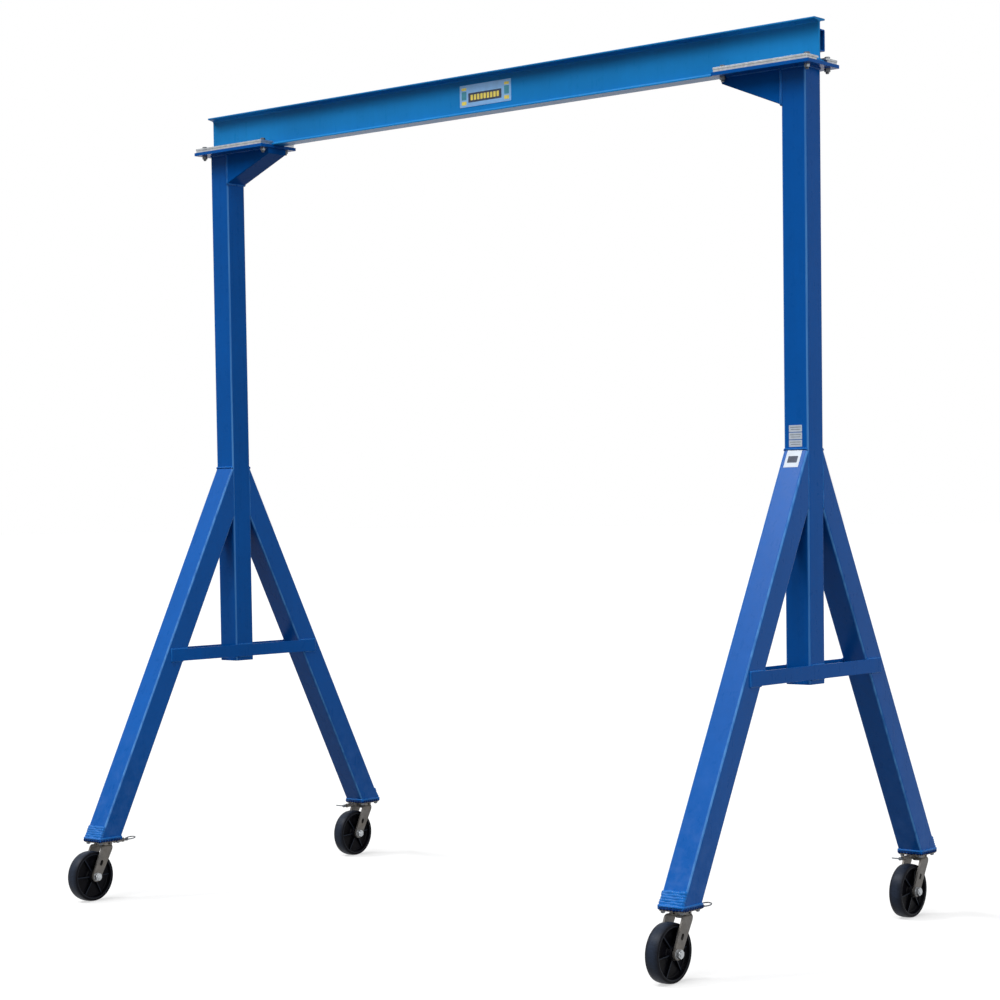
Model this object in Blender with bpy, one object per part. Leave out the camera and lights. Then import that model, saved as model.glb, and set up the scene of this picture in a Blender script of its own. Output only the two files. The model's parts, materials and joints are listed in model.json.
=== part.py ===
"""Portable gantry crane: a rolled beam clamped on two A-frames that stand on four swivel casters.

Metres, +Z up, +X along the beam, -Y to the front. The origin is on the floor, at the centre of the
footprint as the crane stands with its wheels trailing to the front.
"""

import math

import bmesh
import bpy
from mathutils import Matrix, Vector

# Clearances
GAP = 0.0003  # between pieces that touch or are welded together
HOLE_CLEARANCE = 0.0008  # round a bolt in its hole, on the radius
SWIVEL_CLEARANCE = 0.0005  # between the two races of a swivel

# Sides of round pieces: fewer on the small ones
SMALL_ROUND = 12
MEDIUM_ROUND = 16
LARGE_ROUND = 24
SMOOTH_ANGLE = math.radians(35)  # edges that turn less than this are shown smooth

# Beam: a rolled section with tapered flanges
BEAM_LENGTH = 3.048
BEAM_DEPTH = 0.1524
BEAM_WIDTH = 0.068
BEAM_WEB = 0.006
BEAM_TOE = 0.0062  # flange thickness at its edge
BEAM_TAPER = 1 / 6  # rise of the flange's inner face towards the web
BEAM_ROOT_RADIUS = 0.007
BEAM_TOE_RADIUS = 0.0025
BEAM_CORNER_RADIUS = 0.0005
BEAM_UNDERSIDE = 3.106  # height above the floor

# Channel pieces welded behind the web as end stops
STOP_HEIGHT = 0.0762
STOP_DEPTH = 0.030
STOP_WALL = 0.005
STOP_LENGTH = 0.060

# Square tube of the posts and legs
TUBE = 0.1016
TUBE_RADIUS = 0.0095
TUBE_WALL = 0.00635

# A-frames
POST_INSET = 0.079  # from the beam's end to the post's centre
POST_BOTTOM = 0.934
LEG_ANGLE = math.radians(27.35)  # from the vertical
LEG_TOP = 1.764  # where the leg's outer face meets the post
BAR_HEIGHT = 0.0508
BAR_THICKNESS = 0.00635
BAR_BOTTOM = 0.952
BAR_END_INSET = 0.0195  # from the leg's outer face, at the bar's top

# Plate on each post, and the gusset that holds up its inner end
PLATE_LENGTH = 0.4064
PLATE_WIDTH = 0.2032
PLATE_THICKNESS = 0.0127
PLATE_OVERHANG = 0.044  # past the post's outer face
GUSSET_REACH = 0.250
GUSSET_DROP = 0.125
GUSSET_NOSE = 0.022
GUSSET_WALL = 0.00635

# Bars and bolts that clamp the beam's lower flange
CLAMP_END_INSET = 0.006  # from the plate's end
CLAMP_EDGE_INSET = 0.003  # from the plate's long edge
CLAMP_LAP = 0.010  # over the flange
CLAMP_LIP = 0.008
BOLT_DIAMETER = 0.0127
BOLT_FLATS = 0.01905
BOLT_HEAD = 0.0079
BOLT_NUT = 0.0111
BOLT_TAIL = 0.008  # thread past the nut
BOLT_END_INSET = 0.027  # from the plate's end
BOLT_BESIDE_POST = 0.0042  # from a nut's corner to the post's face

# Foot plates
FOOT_MARGIN = 0.00635  # round the leg
FOOT_THICKNESS = 0.0095
FOOT_RADIUS = 0.006

# Casters
PLATE_ABOVE_WHEEL = 0.0381  # the mounting plate's top above the wheel's top
CASTER_PLATE_X = 0.1016
CASTER_PLATE_Y = 0.1143
CASTER_PLATE_THICKNESS = 0.00635
CASTER_PLATE_RADIUS = 0.010
TRAIL = 0.070  # of the wheel's centre behind the swivel axis
WHEEL_RADIUS = 0.1016
WHEEL_WIDTH = 0.0508
WHEEL_FACES = 28
WHEEL_SIDE_GAP = 0.0061  # between the wheel and the fork's leg
TREAD_FLAT = 0.024  # width of the tread's level middle
TREAD_CROWN = 0.0045  # drop from the tread's middle to its edge
RIM_DEPTH = 0.016
RIM_SLOPE = 0.004  # from the web out to the rim, and from the web in to the hub
HUB_WALL = 0.0095
HUB_PROUD = 0.0011  # of the wheel's side
WEB_WIDTH = 0.018
BEARING_WALL = 0.005
BEARING_END_PLAY = 0.00075
AXLE_DIAMETER = 0.01905
AXLE_FLATS = 0.0286
AXLE_HEAD = 0.012
AXLE_NUT = 0.015
AXLE_TAIL = 0.004

# Fork: a bent plate with two tapered legs under a notched race
FORK_PLATE = 0.0075
FORK_BEND_RADIUS = 0.0125
FORK_TOP_BACK = 0.024  # the crown's edges, from the swivel axis
FORK_TOP_FRONT = 0.042
FORK_END_RADIUS = 0.0225
FORK_SLOT_LENGTH = 0.024
FORK_SLOT_WIDTH = 0.008
FORK_SLOT_PLACE = 0.585  # its middle, as a part of the way from the crown to the axle
ROUND_END = 0.999  # of the radius that would make a slot's two corner arcs meet
RACE_RADIUS = 0.037
UPPER_RACE_RADIUS = 0.034
UPPER_RACE_HEIGHT = 0.0012
KINGPIN_RADIUS = 0.011
KINGPIN_HEAD_RADIUS = 0.017
KINGPIN_HEAD = 0.008

# Swivel lock: a plunger that drops into one of four notches in the race
LOCK_RADIUS = 0.0035
LOCK_TRAVEL = 0.010
LOCK_ABOVE_CROWN = 0.001
LOCK_TIP_LENGTH = 0.0015
LOCK_TIP_RADIUS = 0.0025
NOTCH_DEPTH = 0.0095
NOTCH_CLEARANCE = 0.0005
BARREL_RADIUS = 0.009
BARREL_LENGTH = 0.052
SADDLE_WIDTH = 0.020
SADDLE_FROM_RACE = 0.009
COLLAR_RADIUS = 0.0065
COLLAR_LENGTH = 0.0105
RING_RADIUS = 0.0195
RING_WIRE = 0.0016
RING_RISE = math.radians(10)  # of the ring, towards its outer side

# Heights and places that follow
POST_SPAN = BEAM_LENGTH - 2 * POST_INSET  # between post centres
BEAM_TOP = BEAM_UNDERSIDE + BEAM_DEPTH
PLATE_TOP = BEAM_UNDERSIDE - GAP
PLATE_UNDERSIDE = PLATE_TOP - PLATE_THICKNESS
PLATE_CENTRE = TUBE / 2 + PLATE_OVERHANG - PLATE_LENGTH / 2  # outwards from the post's centre
FLANGE_AT_LAP = BEAM_TOE + CLAMP_LAP * BEAM_TAPER
CLAMP_TOP = BEAM_UNDERSIDE + FLANGE_AT_LAP + GAP + CLAMP_LIP
BOLT_X = PLATE_LENGTH / 2 - BOLT_END_INSET
BOLT_Y = TUBE / 2 + BOLT_BESIDE_POST + BOLT_FLATS / math.sqrt(3)
CASTER_HEIGHT = 2 * WHEEL_RADIUS + PLATE_ABOVE_WHEEL
FOOT_BOTTOM = CASTER_HEIGHT + GAP
FOOT_TOP = FOOT_BOTTOM + FOOT_THICKNESS
LEG_BOTTOM = FOOT_TOP + GAP
LEG_FOOT_WIDTH = TUBE / math.cos(LEG_ANGLE)
FOOT_X = TUBE + 2 * FOOT_MARGIN
FOOT_Y = LEG_FOOT_WIDTH + 2 * FOOT_MARGIN
BAR_TOP = BAR_BOTTOM + BAR_HEIGHT
BAR_END = TUBE / 2 + (LEG_TOP - BAR_TOP) * math.tan(LEG_ANGLE) - BAR_END_INSET
FOOT_CENTRE = TUBE / 2 + (LEG_TOP - LEG_BOTTOM) * math.tan(LEG_ANGLE) - LEG_FOOT_WIDTH / 2
FOOTPRINT_SHIFT = (TRAIL + WHEEL_RADIUS - FOOT_Y / 2) / 2  # the wheels reach further to the front
CASTER_PLATE_BOTTOM = CASTER_HEIGHT - CASTER_PLATE_THICKNESS
RACE_TOP = CASTER_PLATE_BOTTOM - UPPER_RACE_HEIGHT - SWIVEL_CLEARANCE
RACE_HEIGHT = LOCK_ABOVE_CROWN + 2 * LOCK_RADIUS + GAP
CROWN_TOP = RACE_TOP - RACE_HEIGHT
CROWN_BOTTOM = CROWN_TOP - FORK_PLATE
KINGPIN_BOTTOM = CROWN_BOTTOM - SWIVEL_CLEARANCE - KINGPIN_HEAD
FORK_INSIDE = WHEEL_WIDTH + 2 * WHEEL_SIDE_GAP
FORK_OUTSIDE = FORK_INSIDE + 2 * FORK_PLATE
BEARING_RADIUS = AXLE_DIAMETER / 2 + BEARING_WALL
BEARING_LENGTH = FORK_INSIDE - 2 * BEARING_END_PLAY
LOCK_HEIGHT = CROWN_TOP + LOCK_ABOVE_CROWN + LOCK_RADIUS
SADDLE_START = RACE_RADIUS + SADDLE_FROM_RACE
BARREL_START = math.hypot(FORK_OUTSIDE / 2, FORK_TOP_FRONT) + SWIVEL_CLEARANCE  # clears the crown
BARREL_END = BARREL_START + BARREL_LENGTH
LOCK_TIP = RACE_RADIUS + LOCK_TRAVEL - NOTCH_DEPTH + NOTCH_CLEARANCE  # released, at rest
COLLAR_START = BARREL_END + GAP + LOCK_TRAVEL

BLUE_PAINT = ("blue_paint", (0.006, 0.115, 0.42), 0.35, 0.0)
BRIGHT_ZINC = ("bright_zinc", (0.72, 0.72, 0.70), 0.35, 1.0)
DARK_ZINC = ("dark_zinc", (0.33, 0.32, 0.29), 0.45, 1.0)
BLACK_NYLON = ("black_nylon", (0.012, 0.013, 0.016), 0.45, 0.0)
PLAIN_STEEL = ("plain_steel", (0.5, 0.5, 0.5), 0.4, 1.0)


def clear_scene():
    for old in list(bpy.data.objects):
        bpy.data.objects.remove(old)


def material(name, colour, roughness, metallic):
    """A plain Principled material, made once for each name."""
    made = bpy.data.materials.get(name)
    if made is None:
        made = bpy.data.materials.new(name)
        made.use_nodes = True
        shader = made.node_tree.nodes["Principled BSDF"]
        shader.inputs["Base Color"].default_value = (*colour, 1)
        shader.inputs["Roughness"].default_value = roughness
        shader.inputs["Metallic"].default_value = metallic
    return made


def rounded_outline(corners, steps=4):
    """The outline through corners (x, y, radius), each corner turned with its own radius."""
    outline = []
    for index, (x, y, radius) in enumerate(corners):
        corner = Vector((x, y))
        if radius == 0:
            outline.append(corner)
            continue
        before = (Vector(corners[index - 1][:2]) - corner).normalized()
        after = (Vector(corners[(index + 1) % len(corners)][:2]) - corner).normalized()
        half = before.angle(after) / 2
        centre = corner + (before + after).normalized() * radius / math.sin(half)
        start = corner + before * radius / math.tan(half) - centre
        end = corner + after * radius / math.tan(half) - centre
        turn = math.atan2(start.cross(end), start.dot(end))
        for step in range(steps + 1):
            outline.append(centre + Matrix.Rotation(turn * step / steps, 2) @ start)
    return outline


def rectangle(width, depth, radius=0, steps=4):
    """The corners of a centred rectangle, rounded where a radius is given."""
    signs = ((-1, -1), (1, -1), (1, 1), (-1, 1))
    corners = [(sx * width / 2, sy * depth / 2, radius) for sx, sy in signs]
    return rounded_outline(corners, steps)


def circle(radius, count, offset=0.0):
    """Points round a circle; offset is in steps, so that 0.5 puts a flat where a point would be."""
    turns = [(index + offset) / count * math.tau for index in range(count)]
    return [Vector((radius * math.cos(turn), radius * math.sin(turn))) for turn in turns]


def at_height(outline, height):
    return [Vector((x, y, height)) for x, y in outline]


def skin(loops, capped=True):
    """A closed mesh through loops of as many points each: capped at both ends, or joined as a ring."""
    bm = bmesh.new()
    rows = [[bm.verts.new(point) for point in loop] for loop in loops]
    pairs = list(zip(rows, rows[1:])) if capped else list(zip(rows, rows[1:] + rows[:1]))
    count = len(rows[0])
    for low, high in pairs:
        for index in range(count):
            after = (index + 1) % count
            bm.faces.new((low[index], low[after], high[after], high[index]))
    if capped:
        bm.faces.new(reversed(rows[0]))
        bm.faces.new(rows[-1])
    bmesh.ops.recalc_face_normals(bm, faces=bm.faces)
    mesh = bpy.data.meshes.new("piece")
    bm.to_mesh(mesh)
    bm.free()
    return mesh


def prism(outline, low, high):
    """The outline in X and Y, extruded from low to high along Z."""
    return skin([at_height(outline, low), at_height(outline, high)])


def cylinder(radius, low, high, count):
    return prism(circle(radius, count), low, high)


def box(low, high):
    """The block between two opposite corners."""
    outline = [(low[0], low[1]), (high[0], low[1]), (high[0], high[1]), (low[0], high[1])]
    return prism([Vector(point) for point in outline], low[2], high[2])


def turned(mesh, *moves):
    """The mesh after the given matrices, the last one first."""
    for move in reversed(moves):
        mesh.transform(move)
    return mesh


# An outline in X and Y stood up: read as Y and Z and extruded along X, or as X and Z and along Y
ALONG_X = Matrix(((0, 0, 1, 0), (1, 0, 0, 0), (0, 1, 0, 0), (0, 0, 0, 1)))
ALONG_Y = Matrix(((1, 0, 0, 0), (0, 0, -1, 0), (0, 1, 0, 0), (0, 0, 0, 1)))


def combined(base, tool, operation):
    """The mesh that one exact Boolean of base with tool leaves; both meshes share a frame."""
    body = bpy.data.objects.new("body", base)
    cutter = bpy.data.objects.new("cutter", tool)
    for helper in (body, cutter):
        bpy.context.scene.collection.objects.link(helper)
    modifier = body.modifiers.new("Boolean", "BOOLEAN")
    modifier.operation = operation
    modifier.solver = "EXACT"
    modifier.object = cutter
    graph = bpy.context.evaluated_depsgraph_get()
    result = bpy.data.meshes.new_from_object(body.evaluated_get(graph))
    for helper in (body, cutter):
        bpy.data.objects.remove(helper)
    return result


def joined(first, *others):
    for other in others:
        first = combined(first, other, "UNION")
    return first


def cut(base, *tools):
    for tool in tools:
        base = combined(base, tool, "DIFFERENCE")
    return base


def moved(x, y, z):
    return Matrix.Translation((x, y, z))


def empty(name, parent=None, location=(0, 0, 0)):
    """An empty that carries pieces; it is no piece itself."""
    carrier = bpy.data.objects.new(name, None)
    carrier.parent = parent
    carrier.location = location
    bpy.context.scene.collection.objects.link(carrier)
    return carrier


def place(name, mesh, look, parent, location=(0, 0, 0), turn=0.0):
    """One piece: a mesh on its carrier, turned about Z, smooth across its small angles."""
    if not mesh.materials:
        mesh.materials.append(material(*look))
        mesh.shade_smooth()
        mesh.set_sharp_from_angle(angle=SMOOTH_ANGLE)
    piece = bpy.data.objects.new(name, mesh)
    piece.parent = parent
    piece.location = location
    piece.rotation_euler.z = turn
    bpy.context.scene.collection.objects.link(piece)
    return piece


def beam_mesh():
    """Half the section is listed from the toe to the web; the other quarters mirror it."""
    half_width, half_depth, half_web = BEAM_WIDTH / 2, BEAM_DEPTH / 2, BEAM_WEB / 2
    root = half_depth - BEAM_TOE - (half_width - half_web) * BEAM_TAPER
    quarter = [
        (half_width, half_depth, BEAM_CORNER_RADIUS),
        (half_width, half_depth - BEAM_TOE, BEAM_TOE_RADIUS),
        (half_web, root, BEAM_ROOT_RADIUS),
    ]
    lower = [(x, -y, r) for x, y, r in reversed(quarter)]
    right = quarter + lower
    left = [(-x, y, r) for x, y, r in reversed(right)]
    section = rounded_outline(right + left)
    return turned(prism(section, -BEAM_LENGTH / 2, BEAM_LENGTH / 2), ALONG_X)


def end_stop_mesh():
    """A channel lying along X, its two toes towards the beam's web at -Y."""
    near, far, half = 0.0, STOP_DEPTH, STOP_HEIGHT / 2
    inner = half - STOP_WALL
    outline = [(near, -half, 0), (far, -half, STOP_WALL), (far, half, STOP_WALL), (near, half, 0)]
    outline += [(near, inner, 0), (far - STOP_WALL, inner, 0), (far - STOP_WALL, -inner, 0)]
    outline += [(near, -inner, 0)]
    section = rounded_outline(outline)
    return turned(prism(section, -STOP_LENGTH / 2, STOP_LENGTH / 2), ALONG_X)


def post_mesh():
    outer = rectangle(TUBE, TUBE, TUBE_RADIUS)
    inner = rectangle(TUBE - 2 * TUBE_WALL, TUBE - 2 * TUBE_WALL, TUBE_RADIUS - TUBE_WALL)
    low, high = POST_BOTTOM, PLATE_UNDERSIDE - GAP
    ends = ((outer, low), (outer, high), (inner, high), (inner, low))
    return skin([at_height(outline, height) for outline, height in ends], capped=False)


def leg_mesh():
    """A back leg: a tube that leans out to +Y, mitred against the post and cut level at the foot."""
    along = Vector((0, math.sin(LEG_ANGLE), -math.cos(LEG_ANGLE)))
    outwards = Vector((0, math.cos(LEG_ANGLE), math.sin(LEG_ANGLE)))
    post_face = TUBE / 2 + GAP
    top_of_axis = Vector((0, TUBE / 2, LEG_TOP)) - outwards * TUBE / 2

    def meets_post(line):
        return line + along * (post_face - line.y) / along.y

    def meets_foot(line):
        return line + along * (LEG_BOTTOM - line.z) / along.z

    outer = rectangle(TUBE, TUBE, TUBE_RADIUS)
    inner = rectangle(TUBE - 2 * TUBE_WALL, TUBE - 2 * TUBE_WALL, TUBE_RADIUS - TUBE_WALL)
    loops = []
    for outline, cuts in ((outer, (meets_foot, meets_post)), (inner, (meets_post, meets_foot))):
        lines = [top_of_axis + Vector((x, 0, 0)) + outwards * y for x, y in outline]
        loops += [[end(line) for line in lines] for end in cuts]
    return skin(loops, capped=False)


def cross_bar_mesh():
    outline = rectangle(2 * BAR_END, BAR_HEIGHT)
    return turned(prism(outline, -BAR_THICKNESS / 2, BAR_THICKNESS / 2), ALONG_X)


def top_plate_mesh():
    plate = prism(rectangle(PLATE_LENGTH, PLATE_WIDTH), 0, PLATE_THICKNESS)
    radius = BOLT_DIAMETER / 2 + HOLE_CLEARANCE
    for sx in (-1, 1):
        for sy in (-1, 1):
            hole = cylinder(radius, -PLATE_THICKNESS, 2 * PLATE_THICKNESS, SMALL_ROUND)
            plate = cut(plate, turned(hole, moved(sx * BOLT_X, sy * BOLT_Y, 0)))
    return plate


def gusset_mesh():
    """A folded plate, open to the post and to the top plate; it reaches to +X from the post's face."""
    reach, drop, nose, wall = GUSSET_REACH, GUSSET_DROP, GUSSET_NOSE, GUSSET_WALL
    outer = [(0, 0, 0), (0, -drop, 0), (reach, -nose, wall / 2), (reach, 0, 0)]
    slope = math.atan2(drop - nose, reach)
    rise = wall / math.cos(slope)  # the wall's thickness, measured upwards
    inside = reach - wall
    floor = -drop + rise + inside * math.tan(slope)
    past = -drop + rise - wall * math.tan(slope)
    inner = [(-wall, wall), (-wall, past), (inside, floor), (inside, wall)]
    half, hollow = TUBE / 2, TUBE / 2 - wall
    shell = turned(prism(rounded_outline(outer), -half, half), ALONG_Y)
    space = turned(prism([Vector(point) for point in inner], -hollow, hollow), ALONG_Y)
    return cut(shell, space)


def clamp_bar_mesh():
    """A stepped bar at the front of the beam: its back edge lies beside the flange, its lip over it."""
    edge = -(PLATE_WIDTH / 2 - CLAMP_EDGE_INSET)
    flange = -(BEAM_WIDTH / 2 + GAP)
    lip = -(BEAM_WIDTH / 2 - CLAMP_LAP)
    low, step = PLATE_TOP + GAP, CLAMP_TOP - CLAMP_LIP
    outline = [(edge, low), (flange, low), (flange, step), (lip, step), (lip, CLAMP_TOP)]
    outline += [(edge, CLAMP_TOP)]
    half = PLATE_LENGTH / 2 - CLAMP_END_INSET
    bar = turned(prism([Vector(point) for point in outline], -half, half), ALONG_X)
    radius = BOLT_DIAMETER / 2 + HOLE_CLEARANCE
    for sx in (-1, 1):
        hole = cylinder(radius, low - BOLT_DIAMETER, CLAMP_TOP + BOLT_DIAMETER, SMALL_ROUND)
        bar = cut(bar, turned(hole, moved(sx * BOLT_X, -BOLT_Y, 0)))
    return bar


def bolt_mesh(diameter, flats, head, grip, nut, tail, count):
    """A bolt down -Z with its nut: the head stands on z = 0, and the nut is up against -grip."""
    corner = flats / math.sqrt(3)
    shank = cylinder(diameter / 2, -(grip + nut + tail), head / 2, count)
    head_block = prism(circle(corner, 6), 0, head)
    nut_block = prism(circle(corner, 6, 0.5), -(grip + nut), -grip)
    return joined(head_block, shank, nut_block)


def foot_plate_mesh():
    return prism(rectangle(FOOT_X, FOOT_Y, FOOT_RADIUS), FOOT_BOTTOM, FOOT_TOP)


def caster_plate_mesh():
    """Mounting plate with the upper race, the kingpin and, towards +Y, the lock's barrel."""
    outline = rectangle(CASTER_PLATE_X, CASTER_PLATE_Y, CASTER_PLATE_RADIUS)
    plate = prism(outline, CASTER_PLATE_BOTTOM, CASTER_HEIGHT)
    overlap = CASTER_PLATE_THICKNESS / 2
    head_top = KINGPIN_BOTTOM + KINGPIN_HEAD
    profile = [
        (KINGPIN_HEAD_RADIUS, KINGPIN_BOTTOM),
        (KINGPIN_HEAD_RADIUS, head_top),
        (KINGPIN_RADIUS, head_top),
        (KINGPIN_RADIUS, RACE_TOP + SWIVEL_CLEARANCE),
        (UPPER_RACE_RADIUS, RACE_TOP + SWIVEL_CLEARANCE),
        (UPPER_RACE_RADIUS, CASTER_PLATE_BOTTOM + overlap),
    ]
    pin = skin([at_height(circle(radius, LARGE_ROUND), height) for radius, height in profile])
    barrel = cylinder(BARREL_RADIUS, BARREL_START, BARREL_END, MEDIUM_ROUND)
    saddle = box(
        (-SADDLE_WIDTH / 2, SADDLE_START, CROWN_TOP + SWIVEL_CLEARANCE),
        (SADDLE_WIDTH / 2, BARREL_START + overlap, CASTER_PLATE_BOTTOM + overlap),
    )
    bore = cylinder(LOCK_RADIUS + GAP, SADDLE_START / 2, 2 * BARREL_END, SMALL_ROUND)
    to_lock = (moved(0, 0, LOCK_HEIGHT), Matrix.Rotation(-math.pi / 2, 4, "X"))
    whole = joined(plate, pin, saddle, turned(barrel, *to_lock))
    return cut(whole, turned(bore, *to_lock))


def fork_mesh():
    """A bent plate cut to its side outline, with the lower race on its crown and four notches in it."""
    half_out, half_in = FORK_OUTSIDE / 2, FORK_INSIDE / 2
    bend, low = FORK_BEND_RADIUS, -WHEEL_RADIUS
    channel = [(-half_out, low, 0), (-half_in, low, 0), (-half_in, CROWN_BOTTOM, bend - FORK_PLATE)]
    channel += [(half_in, CROWN_BOTTOM, bend - FORK_PLATE), (half_in, low, 0), (half_out, low, 0)]
    channel += [(half_out, CROWN_TOP, bend), (-half_out, CROWN_TOP, bend)]
    reach = TRAIL + 2 * FORK_END_RADIUS
    bent = turned(prism(rounded_outline(channel), -reach, reach), ALONG_Y)
    fork = combined(bent, fork_side(), "INTERSECT")
    overlap = FORK_PLATE / 2
    race = cylinder(RACE_RADIUS, CROWN_TOP - overlap, RACE_TOP, LARGE_ROUND)
    fork = joined(fork, race)
    through = 2 * CROWN_TOP
    fork = cut(fork, cylinder(KINGPIN_RADIUS + SWIVEL_CLEARANCE, 0, through, LARGE_ROUND))
    for quarter in range(4):
        turn = Matrix.Rotation(quarter * math.pi / 2, 4, "Z")
        half = LOCK_RADIUS + NOTCH_CLEARANCE
        notch = box((-half, RACE_RADIUS - NOTCH_DEPTH, CROWN_TOP), (half, 2 * RACE_RADIUS, through))
        fork = cut(fork, turned(notch, turn))
    axle_hole = cylinder(AXLE_DIAMETER / 2 + GAP, -FORK_OUTSIDE, FORK_OUTSIDE, MEDIUM_ROUND)
    axle_hole = turned(axle_hole, moved(0, -TRAIL, WHEEL_RADIUS), ALONG_X)
    return cut(fork, axle_hole, fork_slot())


def fork_side():
    """The fork seen from +X: level at the crown, narrowing to a round end about the axle."""
    axle = Vector((-TRAIL, WHEEL_RADIUS))
    top_front = Vector((-FORK_TOP_FRONT, CROWN_TOP))
    top_back = Vector((FORK_TOP_BACK, CROWN_TOP))
    front = tangent_point(top_front, axle, FORK_END_RADIUS, -1)
    back = tangent_point(top_back, axle, FORK_END_RADIUS, 1)
    start = math.atan2(front.y - axle.y, front.x - axle.x)
    end = math.atan2(back.y - axle.y, back.x - axle.x)
    if start > end:
        start -= math.tau
    steps = SMALL_ROUND // 2
    sweep = [start + (end - start) * step / steps for step in range(steps + 1)]
    arc = [axle + FORK_END_RADIUS * Vector((math.cos(turn), math.sin(turn))) for turn in sweep]
    rise = Vector((0, 2 * RACE_HEIGHT))  # runs above the crown, so that the bent plate sets the top
    outline = [top_front + rise, top_front, *arc, top_back, top_back + rise]
    return turned(prism(outline, -FORK_OUTSIDE, FORK_OUTSIDE), ALONG_X)


def tangent_point(point, centre, radius, side):
    """Where the line from the point touches the circle, on its left (side 1) or right (side -1)."""
    away = point - centre
    spread = math.acos(radius / away.length)
    return centre + Matrix.Rotation(-side * spread, 2) @ away.normalized() * radius


def fork_slot():
    """The oblong hole half-way down each leg, along the leg."""
    half, width = (FORK_SLOT_LENGTH - FORK_SLOT_WIDTH) / 2, FORK_SLOT_WIDTH / 2
    top = Vector(((FORK_TOP_BACK - FORK_TOP_FRONT) / 2, CROWN_TOP))
    axle = Vector((-TRAIL, WHEEL_RADIUS))
    lean = (axle - top).angle_signed(Vector((0, -1)))
    middle = top.lerp(axle, FORK_SLOT_PLACE)
    outline = rectangle(2 * width, 2 * (half + width), ROUND_END * width)
    outline = [middle + Matrix.Rotation(lean, 2) @ point for point in outline]
    return turned(prism(outline, -FORK_OUTSIDE, FORK_OUTSIDE), ALONG_X)


def wheel_mesh():
    """Turned about X: hub, web, rim and a crowned tread, with a flat of its faceted tread at the floor."""
    half_hub, half_web, half_rim = WHEEL_WIDTH / 2 + HUB_PROUD, WEB_WIDTH / 2, WHEEL_WIDTH / 2
    rim_inside = WHEEL_RADIUS - RIM_DEPTH
    hub = BEARING_RADIUS + HUB_WALL
    side = [
        (BEARING_RADIUS + GAP, half_hub),
        (hub, half_hub),
        (hub + RIM_SLOPE, half_web),
        (rim_inside - RIM_SLOPE, half_web),
        (rim_inside, half_rim),
        (WHEEL_RADIUS - TREAD_CROWN, half_rim),
        (WHEEL_RADIUS, TREAD_FLAT / 2),
    ]
    profile = side + [(radius, -across) for radius, across in reversed(side)]
    to_corner = 1 / math.cos(math.pi / WHEEL_FACES)
    loops = [
        at_height(circle(radius * to_corner, WHEEL_FACES, 0.5), across)
        for radius, across in profile
    ]
    return turned(skin(loops, capped=False), ALONG_X)


def bearing_mesh():
    bore = AXLE_DIAMETER / 2 + GAP
    half = BEARING_LENGTH / 2
    ends = ((BEARING_RADIUS, -half), (BEARING_RADIUS, half), (bore, half), (bore, -half))
    loops = [at_height(circle(radius, MEDIUM_ROUND), across) for radius, across in ends]
    return turned(skin(loops, capped=False), ALONG_X)


def axle_mesh():
    """A bolt along X, its head at -X and its nut at +X, drawn up on the fork's two legs."""
    grip = FORK_OUTSIDE + 2 * GAP
    bolt = bolt_mesh(AXLE_DIAMETER, AXLE_FLATS, AXLE_HEAD, grip, AXLE_NUT, AXLE_TAIL, MEDIUM_ROUND)
    lie = Matrix.Rotation(-math.pi / 2, 4, "Y")
    return turned(bolt, moved(-grip / 2, 0, 0), lie)


def lock_pin_mesh():
    """The plunger along +Y from the race, with a collar and a pull ring at its outer end."""
    collar_end = COLLAR_START + COLLAR_LENGTH
    profile = [
        (LOCK_TIP_RADIUS, LOCK_TIP),
        (LOCK_RADIUS, LOCK_TIP + LOCK_TIP_LENGTH),
        (LOCK_RADIUS, COLLAR_START),
        (COLLAR_RADIUS, COLLAR_START),
        (COLLAR_RADIUS, collar_end),
    ]
    pin = skin([at_height(circle(radius, SMALL_ROUND), along) for radius, along in profile])
    turned(pin, Matrix.Rotation(-math.pi / 2, 4, "X"))
    loops = []
    for index in range(MEDIUM_ROUND):
        turn = Matrix.Rotation(index / MEDIUM_ROUND * math.tau, 4, "Z")
        section = [Vector((RING_RADIUS + x, 0, y)) for x, y in circle(RING_WIRE, 6)]
        loops.append([turn @ point for point in section])
    ring = skin(loops, capped=False)
    pivot = collar_end - COLLAR_RADIUS / 2
    rise = Matrix.Rotation(RING_RISE, 4, "X")
    turned(ring, moved(0, pivot, 0), rise, moved(0, RING_RADIUS, 0))
    return joined(pin, ring)


def build_beam(crane):
    place("beam", beam_mesh(), BLUE_PAINT, crane, (0, 0, BEAM_UNDERSIDE + BEAM_DEPTH / 2))
    stop = end_stop_mesh()
    for side, sx in (("left", -1), ("right", 1)):
        at = (sx * (BEAM_LENGTH - STOP_LENGTH) / 2, BEAM_WEB / 2 + GAP, BEAM_TOP - BEAM_DEPTH / 2)
        place(f"end_stop_{side}", stop, BLUE_PAINT, crane, at)


def build_clamps(crane):
    bar = clamp_bar_mesh()
    grip = CLAMP_TOP - PLATE_UNDERSIDE + 2 * GAP
    bolt = bolt_mesh(BOLT_DIAMETER, BOLT_FLATS, BOLT_HEAD, grip, BOLT_NUT, BOLT_TAIL, SMALL_ROUND)
    for side, sx in (("left", -1), ("right", 1)):
        middle = sx * (POST_SPAN / 2 + PLATE_CENTRE)
        for row, sy in (("front", -1), ("back", 1)):
            turn = 0 if sy < 0 else math.pi
            place(f"clamp_bar_{side}_{row}", bar, BRIGHT_ZINC, crane, (middle, 0, 0), turn)
            for end, ex in (("outer", sx), ("inner", -sx)):
                at = (middle + ex * BOLT_X, sy * BOLT_Y, CLAMP_TOP + GAP)
                place(f"clamp_bolt_{side}_{row}_{end}", bolt, BRIGHT_ZINC, crane, at)


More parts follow.
